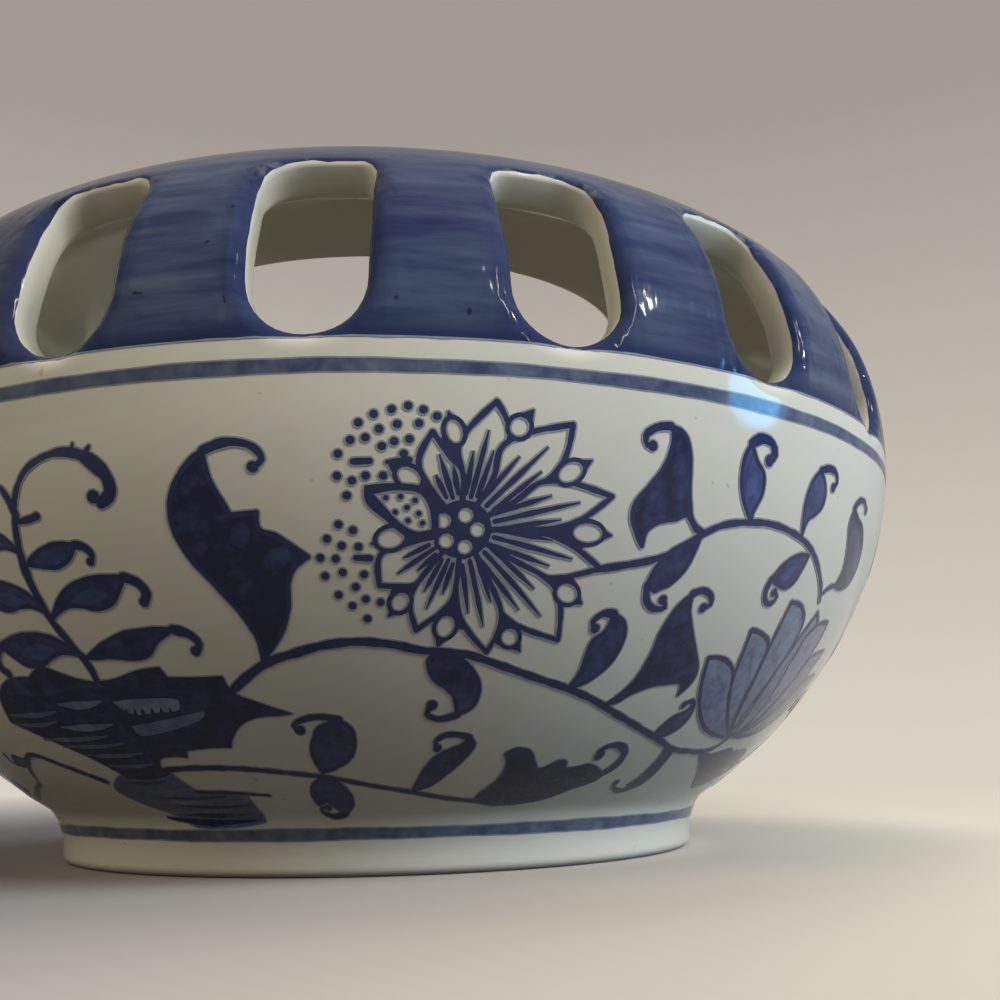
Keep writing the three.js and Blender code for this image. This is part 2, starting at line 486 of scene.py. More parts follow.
def write_values(piece, name, rule):
    """Writes a value on every point of a piece, worked out from its place in millimetres."""
    mesh = piece.data
    places = np.empty(3 * len(mesh.vertices))
    mesh.vertices.foreach_get("co", places)
    values = rule(*(places.reshape(-1, 3) / MM).T)
    mesh.attributes.new(name, "FLOAT", "POINT").data.foreach_set("value", values)


def finish_piece(piece, material):
    """Shades a piece, gives it its material and ties it to the frame."""
    select(piece)
    bpy.ops.object.shade_smooth_by_angle(angle=math.radians(SMOOTH_ANGLE))
    piece.data.materials.clear()
    piece.data.materials.append(material)
    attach(piece, BODY)


# The slots


def slot_side(corner):
    """Points up a slot's right side, from its lowest to its highest place, and the way out at each."""
    s = shape()
    half = s.slot_width / 2
    tall = WALL.slot_high - WALL.slot_low
    low = np.radians(np.linspace(-90, 0, SIDE_POINTS))
    top = np.radians(np.linspace(0, 90, CORNER_POINTS))
    side = np.linspace(half, tall - corner, SIDE_POINTS)[1:-1]
    right = np.vstack([
        np.stack([half * np.cos(low), half + half * np.sin(low)], 1),
        np.stack([half + 0 * side, side], 1),
        np.stack([half + corner * (np.cos(top) - 1), tall + corner * (np.sin(top) - 1)], 1),
        [[0, tall]],
    ])
    run = runs(right)
    round_end = slice(0, SIDE_POINTS)
    turn_in_height = half * (1 + math.sin(math.radians(SLOT_TURN_IN)))
    turn_in = np.interp(turn_in_height, right[round_end, 1], run[round_end])
    turn_over = run[-2] - 0.25 * math.pi * corner
    stops = np.concatenate([
        np.linspace(0, turn_in, BASE_STEPS // 2 + 1),
        np.linspace(turn_in, turn_over, SIDE_STEPS + 1)[1:],
        np.linspace(turn_over, run[-1], BASE_STEPS // 2 + 1)[1:],
    ])

    def at(stops):
        return np.stack([np.interp(stops, run, right[:, i]) for i in (0, 1)], 1)

    ways = at(stops + SLOT_PROBE) - at(stops - SLOT_PROBE)
    ways[0] = (1, 0)
    ways[-1] = (-1, 0)
    return at(stops), rightward(ways)


def slot_outline(slot):
    """Points round one slot, anticlockwise from its lowest place, and the way out of the slot at each."""
    left, right = (shape().slot_corner * k for k in CORNERS[slot % len(CORNERS)])
    right_side, right_out = slot_side(right)
    left_side, left_out = (part[-2::-1] * (-1, 1) for part in slot_side(left))
    return np.vstack([right_side, left_side]), np.vstack([right_out, left_out])


def zone_outline():
    """Points round the piece of wall that holds one slot, to match the slot's own, as turns and rises."""
    half = PITCH / 2
    base = np.linspace(0, half, BASE_STEPS // 2 + 1)
    side = np.linspace(WALL.zone_low, WALL.zone_high, SIDE_STEPS + 1)[1:]
    right = np.vstack([
        np.stack([base, WALL.zone_low + 0 * base], 1),
        np.stack([half + 0 * side, side], 1),
        np.stack([base[::-1], WALL.zone_high + 0 * base], 1)[1:],
    ])
    return np.vstack([right, (right * (-1, 1))[-2::-1]])


def around_slot(loop, ways, width, depth):
    """One ring of places round the slot, a little outside its outline, as turn, rise and depth."""
    at = loop + ways * (width + np.zeros(len(loop)))[:, None]
    rise = WALL.slot_low + at[:, 1]
    return np.stack([at[:, 0] / WALL.mm_per_degree(rise), rise, depth + np.zeros(len(loop))], 1)


def spread(zone, ring, depth):
    """Rings from the border of the zone to a ring round the slot."""
    far = np.column_stack([zone, np.full(len(zone), depth)])
    return [far + (ring - far) * i / RIB_STEPS for i in range(RIB_STEPS)]


def upper_end(loop):
    """1 along the upper end of a slot, 0 along its sides and below."""
    return np.clip((loop[:, 1] / loop[:, 1].max() - UPPER_END) / (1 - UPPER_END), 0, 1)


def edge_rings(slot, reach, lift=0.0):
    """Rings over the soft outer edge of a slot, from its brim inwards as far as an angle of reach."""
    s = shape()
    loop, ways = slot_outline(slot)
    upper = upper_end(loop)
    width = s.edge_width * (1 - UPPER_NARROWER * upper)
    drop = s.edge_drop * (1 - UPPER_SHALLOWER * upper)
    rings = []
    for i in range(EDGE_STEPS + 1):
        a = reach * i / EDGE_STEPS
        aside = width - (width + lift) * np.sin(a)
        rings.append(around_slot(loop, ways, aside, drop - (drop + lift) * np.cos(a)))
    return spread(zone_outline(), rings[0], -lift) + rings


def band_rings(slot):
    """The film of paint round one slot. It goes into the soft edge, but not far at the slot's upper end."""
    loop, _ = slot_outline(slot)
    upper = upper_end(loop)
    ragged = waves(np.linspace(0, 2 * np.pi, len(loop)), slot, RAGGED_WAVES)
    reach = PAINT_REACH - PAINT_REACH_LOST * upper + ragged * (RAGGED_SIDE + RAGGED_UPPER * upper)
    return edge_rings(slot, np.radians(reach), paint().lift)


def inner_rings(slot):
    """The inside of the wall round one slot, from the cut face outwards."""
    s = shape()
    loop, ways = slot_outline(slot)
    edge = []
    for i in range(EDGE_STEPS):
        a = math.radians(90 * i / (EDGE_STEPS - 1))
        width = s.inner_round * (1 - math.cos(a))
        depth = s.wall - s.inner_round * (1 - math.sin(a))
        edge.append(around_slot(loop, ways, width, depth))
    return edge + spread(zone_outline(), edge[-1], s.wall)[::-1]


def skin_rings(slot):
    """The porcelain round one slot, outside and inside."""
    return edge_rings(slot, math.pi / 2) + inner_rings(slot)


def slotted_ring(name, rings):
    """The wall round every slot, as one grid for each."""
    pieces = []
    for k in range(SLOT_COUNT):
        places = np.array(rings(k))
        turn = places[..., 0] + PITCH * k
        pieces.append(grid_piece(f"{name}_{k + 1}", WALL.wrap(turn, places[..., 1], places[..., 2])))
    return pieces


# The body and the blue band


def turned(name, profile):
    """A grid that goes all the way round, from a list of radii and heights."""
    radius, height = (np.repeat(np.array(profile)[:, i, None], COLUMNS + 1, 1) for i in (0, 1))
    return grid_piece(name, spun(radius, height, TURNS))


def wall_strip(name, low, high, steps, depth=0.0):
    """A grid that goes all the way round on the wall, between two rises."""
    turn, rise = np.meshgrid(TURNS, np.linspace(low, high, steps + 1))
    return grid_piece(name, WALL.wrap(turn, rise, depth))


def rounded(centre, radius, start, end, steps):
    """Points on an arc, in radius and height."""
    angles = np.radians(np.linspace(start, end, steps + 1))
    return [(centre[0] + radius * math.cos(a), centre[1] + radius * math.sin(a)) for a in angles]


def foot_profile():
    """The underside, the flat rim and the lower edge of the foot."""
    s = shape()
    soft = s.foot_round
    rim_soft = 0.6 * soft
    points = [(r, s.recess) for r in np.linspace(0, s.foot_rim - 2 * soft, FLAT_STEPS)]
    points += rounded((s.foot_rim - 2 * soft, s.recess - soft), soft, 90, 0, steps=4)
    points += rounded((s.foot_rim, rim_soft), rim_soft, 180, 270, steps=4)
    points += rounded((s.foot_radius - soft, soft), soft, -90, 0, steps=5)
    return points


def lip_profile(lift, end, steps):
    """The rolled edge of the mouth, from the top of the crown as far as an angle."""
    return rounded((WALL.lip_centre, LIP_TOP - WALL.lip_radius), WALL.lip_radius + lift, 90, end, steps)


def floor_profile():
    """The inside from the foot of the wall to the middle of the floor."""
    s = shape()
    radius, height = (float(v) for v in WALL.at(0.0, s.wall))
    (near_in, near_down), far_in = HEEL_HANDLES
    flat = radius - HEEL_REACH
    near, far = (radius - near_in, height - near_down), (radius - far_in, s.floor_top)
    heel = bezier((radius, height), near, far, (flat, s.floor_top), steps=7)
    return [tuple(p) for p in heel] + [(r, s.floor_top) for r in np.linspace(flat, 0, FLAT_STEPS)[1:]]


def make_body():
    """The whole porcelain body as one closed skin."""
    wall = shape().wall
    inner_end = WALL.end - INNER_GAP
    lip = lip_profile(0.0, LIP_END, LIP_STEPS)
    grids = [
        turned("foot", foot_profile()),
        wall_strip("foot_outside", WALL.start, 0.0, steps=8),
        wall_strip("belly_outside", 0.0, WALL.zone_low, steps=60),
        wall_strip("crown_outside", WALL.zone_high, WALL.end, FLAT_STEPS),
        turned("lip", lip),
        wall_strip("crown_inside", WALL.zone_high, inner_end, steps=9, depth=wall),
        wall_strip("belly_inside", 0.0, WALL.zone_low, steps=30, depth=wall),
        turned("floor", floor_profile()),
        turned("lip_inside", [lip[-1], WALL.at(inner_end, wall)]),
    ]
    body = skin("porcelain_body", grids + slotted_ring("slot_skin", skin_rings))
    # How deep each point lies inside the outer wall, which the porcelain reads for its painted shade inside
    write_values(body, "inside", lambda x, y, z: WALL.at(WALL.rise_at(z))[0] - np.hypot(x, y))
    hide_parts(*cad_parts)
    return body


def between(name, low, high):
    """The paint of the shoulder and the crown between two heights, as a film."""
    p = paint()
    grids = slotted_ring("slot_band", band_rings)
    grids.append(wall_strip("crown_band", WALL.zone_high, WALL.end, FLAT_STEPS, -p.lift))
    grids.append(turned("lip_band", lip_profile(p.lift, LIP_PAINT_END, steps=5)))
    band = skin(name, grids)
    for height, cleared in ((low, "clear_inner"), (high, "clear_outer")):
        level = {"plane_co": (0, 0, height * MM), "plane_no": (0, 0, 1)}
        edit(band, bpy.ops.mesh.bisect, **level, **{cleared: True})
    thicken(band)
    return band


def slot_distance(x, y, z):
    """How far places on the shoulder are from the nearest slot, in millimetres."""
    s = shape()
    rise = WALL.rise_at(z)
    turn = (np.degrees(np.arctan2(x, -y)) + PITCH / 2) % PITCH - PITCH / 2
    half, tall = s.slot_width / 2, WALL.slot_high - WALL.slot_low
    up = rise - WALL.slot_low - tall / 2
    corner = np.where(up < 0, half, s.slot_corner)
    aside = np.abs(turn) * WALL.mm_per_degree(rise) - half + corner
    above = np.abs(up) - tall / 2 + corner
    outside = np.hypot(np.maximum(aside, 0), np.maximum(above, 0))
    distance = outside + np.minimum(np.maximum(aside, above), 0) - corner
    return np.where(np.hypot(x, y) < s.crest_radius, CROWN_DISTANCE, distance)


def make_band():
    """The blue film over the shoulder and the crown, cut off at its lower border."""
    band = between("cobalt_band", paint().band_bottom, 2 * HEIGHT)
    write_values(band, "edge", slot_distance)
    return band


def make_line(name, height, width, lift):
    """One painted line all the way round, with brush-made edges."""
    turn = np.linspace(0, 360, 2 * COLUMNS + 1)
    middle = WALL.rise_at(height)
    low = middle - width / 2 + waves(np.radians(turn), 0.0, LOW_EDGE_WAVES)
    high = middle + width / 2 + waves(np.radians(turn), 0.0, HIGH_EDGE_WAVES)
    rise = np.array([low + (high - low) * t for t in np.linspace(0, 1, 4)])
    radius, level = WALL.at(rise, -lift)
    line = skin(name, [grid_piece(name, spun(radius, level, turn))])
    thicken(line)
    return line


# Painting on the wall


def smooth(points):
    """A smooth curve through points that are given as turn and rise, in short steps."""
    p = np.array(points, float)
    gap = np.hypot(*(np.diff(p, axis=0) * (SQUASH, 1)).T)
    time = np.concatenate([[0], np.cumsum(np.sqrt(gap))])
    slope = np.diff(p, axis=0) / np.diff(time)[:, None]
    tangent = np.repeat(slope[:1], len(p), 0)
    if len(p) > 2:
        before, after = np.diff(time)[:-1, None], np.diff(time)[1:, None]
        tangent[1:-1] = (slope[:-1] * after + slope[1:] * before) / (before + after)
        tangent[0] = 1.5 * slope[0] - 0.5 * tangent[1]
        tangent[-1] = 1.5 * slope[-1] - 0.5 * tangent[-2]
    places = [p[:1]]
    for i, distance in enumerate(gap):
        steps = math.ceil(distance / CURVE_STEP)
        u = np.linspace(0, 1, steps + 1)[1:, None]
        span = time[i + 1] - time[i]
        places.append(
            (2 * u**3 - 3 * u**2 + 1) * p[i]
            + (u**3 - 2 * u**2 + u) * span * tangent[i]
            + (3 * u**2 - 2 * u**3) * p[i + 1]
            + (u**3 - u**2) * span * tangent[i + 1]
        )
    return np.vstack(places)


def sections(points):
    """The smooth stretches of a line of points in which None marks a corner at the point before it."""
    stretches = [[]]
    for point in points:
        if point is None:
            stretches.append([stretches[-1][-1]])
        else:
            stretches[-1].append(point)
    return stretches


def cell(turn, rise):
    """The small square that a place is in."""
    return round(turn * SQUASH / CELL), round(rise / CELL)


class Sheet:
    """Loops painted one over another on the wall, each with its tone and the strength of its wash."""

    def __init__(self):
        self.loops = []

    def add(self, loop, tone, wash=0.0):
        """One loop of turns and rises that doesn't cross itself."""
        loop = np.array(loop, float)
        after = np.roll(loop, -1, 0)
        area = float(np.sum(loop[:, 0] * after[:, 1] - loop[:, 1] * after[:, 0])) / 2
        if abs(area) > SMALLEST:
            self.loops.append((loop if area > 0 else loop[::-1], tone, wash))

    def fill(self, points, tone, wash=0.0, bleeding=True):
        """A shape with smooth sides and sharp corners."""
        loop = np.vstack([smooth(stretch)[:-1] for stretch in sections(points)] + [[points[-1]]])
        self.add(loop, tone, wash)
        if bleeding:
            self.ribbon(np.vstack([loop, loop[:1]]), np.zeros(len(loop) + 1), BLEED)

    def ribbon(self, line, width, tone, wash=0.0):
        """A strip of paint along a line of places, with what bleeds out of it at both sides."""
        keep = np.concatenate([[True], np.hypot(*(np.diff(line, axis=0) * (SQUASH, 1)).T) > 1e-3])
        line, width = line[keep], width[keep]
        along = np.gradient(line * (SQUASH, 1), axis=0)
        side = np.stack([-along[:, 1], along[:, 0]], 1) / np.maximum(np.hypot(*along.T), 1e-6)[:, None]
        side = side / (SQUASH, 1)
        edge = side * width[:, None] / 2
        reach = edge + side * paint().bleed
        strips = (
            (line + reach, line + edge, BLEED),
            (line - edge, line - reach, BLEED),
            (line + edge, line - edge, tone),
        )
        for left, right, its_tone in strips:
            for i in range(len(line) - 1):
                self.add([right[i], right[i + 1], left[i]], its_tone, wash)
                self.add([right[i + 1], left[i + 1], left[i]], its_tone, wash)

    def stroke(self, points, widths=(0.6,), tone=LINE, wash=0.0):
        """A brush stroke, with its widths from one end to the other."""
        for stretch in sections(points):
            line = smooth(stretch)
            run = runs(line * (SQUASH, 1))
            width = np.interp(run / run[-1], np.linspace(0, 1, len(widths)), widths)
            width = width * (
                1 + 0.09 * np.sin(1.9 * run + line[0, 0]) + 0.05 * np.sin(4.3 * run + line[0, 1])
            )
            self.ribbon(line, width, tone, wash)
            for end in (0, -1):
                if width[end] > 0.2:
                    self.dot(line[end], width[end] / 2, tone, wash)

    def disc(self, place, long, short, lean, tone, wash=0.0):
        """An oval that leans, with more points the longer it is."""
        a = np.linspace(0, 2 * math.pi, max(DISC_POINTS, math.ceil(DISC_POINTS_PER_MM * long)) + 1)[:-1]
        x, y = long * np.cos(a), short * np.sin(a)
        c, s = math.cos(math.radians(lean)), math.sin(math.radians(lean))
        self.add(np.array(place) + np.stack([c * x - s * y, s * x + c * y], 1) / (SQUASH, 1), tone, wash)

    def dot(self, place, radius, tone=LINE, wash=0.0, stretch=1.0, lean=0.0):
        """A round spot, or an oval one that leans, with its bleed: outside it, or inside a bare one."""
        bleed = paint().bleed
        if tone == BARE:
            self.disc(place, radius * stretch, radius, lean, BARE)
            self.disc(place, radius * stretch, radius, lean, BLEED)
            self.disc(place, radius * stretch - bleed, radius - bleed, lean, BARE)
        else:
            self.disc(place, radius * stretch + bleed, radius + bleed, lean, BLEED)
            self.disc(place, radius * stretch, radius, lean, tone, wash)

    def outlined(self, around, tone, wash, line):
        """A wash with a line round it."""
        self.fill(around, tone, wash, False)
        self.stroke(around, (line,))

    def leaf(self, base, over, under, curl=(), wash=0.25, ball=0.5, curl_widths=(0.85, 0.5), light=None):
        """A leaf from its base: one side to the tip, the other back, a curl at the tip and a paler patch."""
        self.outlined([base, *over, None, *under, base], LEAF, wash, 0.45)
        if curl:
            self.stroke([over[-1], *curl], curl_widths)
            self.dot(curl[-1], ball)
        if light:
            patch, light_wash = light
            self.fill(patch, LEAF, light_wash)

    def copy(self, draw, about, to, size=1.0, lean=0.0, flip=False):
        """A motif drawn again, moved, turned, resized or mirrored."""
        part = Sheet()
        draw(part)
        c, s = math.cos(math.radians(lean)) * size, math.sin(math.radians(lean)) * size
        for loop, tone, wash in part.loops:
            flat = (loop - about) * (-SQUASH if flip else SQUASH, 1)
            moved = np.stack([c * flat[:, 0] - s * flat[:, 1], s * flat[:, 0] + c * flat[:, 1]], 1)
            self.add(moved / (SQUASH, 1) + to, tone, wash)

    def cut(self):
        """The points of one tile, and its faces, each with the tone of the last loop that covers it."""
        low, high = TILE_START, TILE_START + TILE
        places, faces, owners, boxes = [], [], [], []
        for loop, tone, wash in self.loops:
            for shift in (-TILE, 0.0, TILE):
                shifted = loop + (shift, 0)
                box = (*shifted.min(0).tolist(), *shifted.max(0).tolist())
                if box[2] > low - 1 and box[0] < high + 1:
                    faces.append(list(range(len(places), len(places) + len(loop))))
                    owners.append((tone, wash))
                    boxes.append(box)
                    places.extend(shifted.tolist())
        top = max(rise for _, rise in places)
        inked = {cell(turn, rise) for turn, rise in places}
        seams = []
        for turn in (low, high):
            seams.append((len(places), len(places) + 1))
            places += [[turn, TILE_LOW], [turn, TILE_HIGH]]
        for i, rise in enumerate(np.arange(FILL_START, top, FILL_STEP * FILL_ROW)):
            for turn in np.arange(low + (i % 2) * FILL_STEP / 2, high, FILL_STEP / SQUASH):
                x, y = cell(turn, rise)
                if inked.isdisjoint((x + i, y + j) for i in (-1, 0, 1) for j in (-1, 0, 1)):
                    places.append([turn, rise])
        flat = [Vector((turn * SQUASH, rise)) for turn, rise in places]
        points, _, tiles, _, _, sources = delaunay_2d_cdt(flat, seams, faces, 1, SMALLEST)
        points = np.array([tuple(p) for p in points]) / (SQUASH, 1)
        cut = []
        for tile, source, (turn, rise) in zip(tiles, sources, points[np.array(tiles)].mean(1).tolist()):
            over = [
                i for i in source if boxes[i][0] < turn < boxes[i][2] and boxes[i][1] < rise < boxes[i][3]
            ]
            if over and low < turn < high:
                solid = max((i for i in over if owners[i][0] != BLEED), default=-1)
                tone, wash = owners[solid] if solid >= 0 else (BARE, 0.0)
                if tone == BARE and max(over) > solid:
                    tone = BLEED
                cut.append((tuple(tile), tone, wash))
        return points, cut


def make_film(name, points, cut, tone):
    """The film of one tone of paint, laid on the wall as often as the tile repeats."""
    chosen = [(tile, wash) for tile, its_tone, wash in cut if its_tone == tone]
    used = sorted({i for tile, _ in chosen for i in tile})
    number = {i: n for n, i in enumerate(used)}
    faces = [tuple(number[i] for i in tile) for tile, _ in chosen]
    copies = []
    for shift in np.arange(0, 360, TILE):
        places = WALL.wrap(points[used, 0] + shift, points[used, 1], -paint().lift)
        mesh = bpy.data.meshes.new(name)
        mesh.from_pydata(places.tolist(), [], faces)
        mesh.attributes.new("wash", "FLOAT", "FACE").data.foreach_set("value", [wash for _, wash in chosen])
        film = bpy.data.objects.new(name, mesh)
        bpy.context.collection.objects.link(film)
        copies.append(film)
    film = joined(name, copies, FILM_MERGE)
    if len(film.data.polygons) > FILM_FACES:
        modify(film, "DECIMATE", ratio=FILM_FACES / len(film.data.polygons))
    thicken(film)
    return film


# The motifs, with their control points as turn and rise


def stems(sheet):
    """The winding stems that carry the flowers."""
    for points, widths in (
        ([(-8.5, 17), (-6.5, 18.6), (-4.5, 19.9), (-2, 20.7), (0.5, 21.4), (3.5, 21.7), (6.5, 21.4),
          (9, 20.8), (13, 20.4), (16, 19.4), (20, 18), (23.5, 16.9), (27, 15.6), (30, 14.2), (33.5, 12.7),
          (37, 11.3), (40, 10.2), (43, 9.1), (47, 8.7), (50, 8.6), (52.5, 9.2), (54.3, 11)],
         (0.9, 0.8, 0.75, 0.75, 0.7, 0.65)),
        ([(23.5, 28.7), (26, 29.2), (28.5, 29.8), (30.5, 30.6), (32, 31.7), (33.5, 32.7), (35.5, 33.7),
          (38.5, 34.3), (41.5, 34.5), (44.5, 34.2), (47.5, 33.5), (50, 32.4), (52, 31), (54, 29.3), (55, 28)],
         (0.7, 0.65, 0.6)),
        ([(54.5, 28.5), (56, 29.7), (58, 30.2), (60, 30.5)], (0.6, 0.5)),
        ([(-21, 7.5), (-16, 7.8), (-12, 7.7), (-8, 7.3), (-4, 6.7), (-1, 6.2), (2, 5.4), (5, 4.6), (8, 3.9),
          (11, 3.1), (14, 2.4), (17, 1.9), (20, 1.4)], (0.7, 0.6, 0.6)),
    ):
        sheet.stroke(points, widths)


def big_leaf(sheet):
    """The tall dark leaf left of the open flower."""
    sheet.leaf(
        (-4.9, 20.2),
        [(-5.1, 22.3), (-6.3, 24.9), (-8.2, 27.7), (-9.9, 30.3), (-10.7, 33.2), (-10.1, 35.9), (-8.6, 37.9),
         (-7.6, 38.6)],
        [(-7.4, 36.7), (-6.7, 34.9), (-5.9, 33.2), None, (-3.9, 33.35), None, (-3.75, 31.9), (-2.6, 31.4),
         (-0.2, 29.5), None, (-1.3, 28.6), (-1.9, 27.2), (-2.1, 25), (-2.8, 23), (-3.9, 21.3)],
        [(-5.6, 39.2), (-3.8, 38.7), (-3.2, 37.7), (-3.9, 37.1)], 0.0,
    )
    for place, radius, lean in (((-5.3, 31.5), 0.8, 70), ((-2.6, 29.4), 0.9, 30), ((-8.8, 36.2), 0.7, 60)):
        sheet.disc(place, 1.4 * radius, radius, lean, LEAF, 0.2)


SIDE_LEAF_BASE = (-23.9, 25.3)


def side_leaf(sheet):
    """One leaf of the branch at the left."""
    sheet.leaf(
        SIDE_LEAF_BASE,
        [(-22.5, 27), (-20.5, 28.2), (-18, 28.6), (-15.7, 28.4)],
        [(-16.5, 27.2), (-17.5, 26.1), (-19, 25.7), (-20.5, 26.1), (-22.3, 26.1)],
        [(-14.5, 27.8), (-14.0, 26.9), (-14.4, 26.1)], 0.4, curl_widths=(1.0, 0.8),
        light=([(-21.6, 26.6), (-19.6, 26.1), (-17.6, 27.0), (-19.2, 27.6), (-21.6, 26.6)], 0.85),
    )


def side_leaves(sheet, places):
    """More leaves of that kind, each with its place, size and lean, and whether it is mirrored."""
    for to, size, lean, flip in places:
        sheet.copy(side_leaf, SIDE_LEAF_BASE, to, size, lean, flip)


def left_branch(sheet):
    """The branch with leaves on both sides and a thorny curl at its end."""
    sheet.stroke(
        [(-22.2, 18), (-22.3, 20.3), (-23.2, 22.5), (-24.3, 25), (-24.9, 27.5), (-25.2, 30), (-25.1, 32.5),
         (-24.8, 34.5), (-24.2, 36.5), (-23, 38.2), (-21.5, 39.1), (-19.5, 39.5), (-17.8, 39.2),
         (-16.5, 38.3), (-15.5, 37.0), (-15.4, 35.7), (-16.3, 34.9)],
        (0.8, 0.8, 0.8, 0.9, 0.6, 0.55, 0.6, 1.3, 1.0),
    )
    sheet.dot((-16.9, 35.5), 0.6)
    for thorn, widths in (
        ([(-18.3, 39.3), (-18.1, 40.1)], (0.5, 0.2)), ([(-17.2, 39.0), (-16.7, 39.7)], (0.7, 0.3)),
        ([(-24.7, 34.1), (-23.3, 34.2), (-22.5, 34.4)], (0.4, 0.8)),
        ([(-25.6, 37.2), (-24.9, 35.8), (-24.6, 34.6)], (0.5, 0.9)),
    ):
        sheet.stroke(thorn, widths)
    sheet.leaf(
        (-24.8, 30.3), [(-23.3, 31.3), (-21.5, 31.8), (-19.5, 31.6)],
        [(-20.3, 30.5), (-21.6, 29.8), (-23.3, 30.0)],
        [(-18.5, 31.2), (-18.1, 30.5), (-18.4, 30.0)], 0.7, 0.4, (0.8, 0.55),
    )
    side_leaf(sheet)
    sheet.leaf(
        (-22, 21.1), [(-20, 22.2), (-17.5, 23.2), (-14.8, 23.5), (-12.5, 23.4)],
        [(-14.3, 22.3), (-15.5, 21.1), (-17, 20.7), (-19, 21), (-21, 21)],
        [(-11, 22.8), (-10.4, 21.9), (-10.9, 21.2)], 0.25, curl_widths=(0.95, 0.75),
    )
    side_leaves(sheet, (
        ((-25.1, 31.2), 0.75, -4, True), ((-24.2, 25.4), 0.95, -6, True), ((-22.3, 21.2), 1.15, 10, True),
    ))


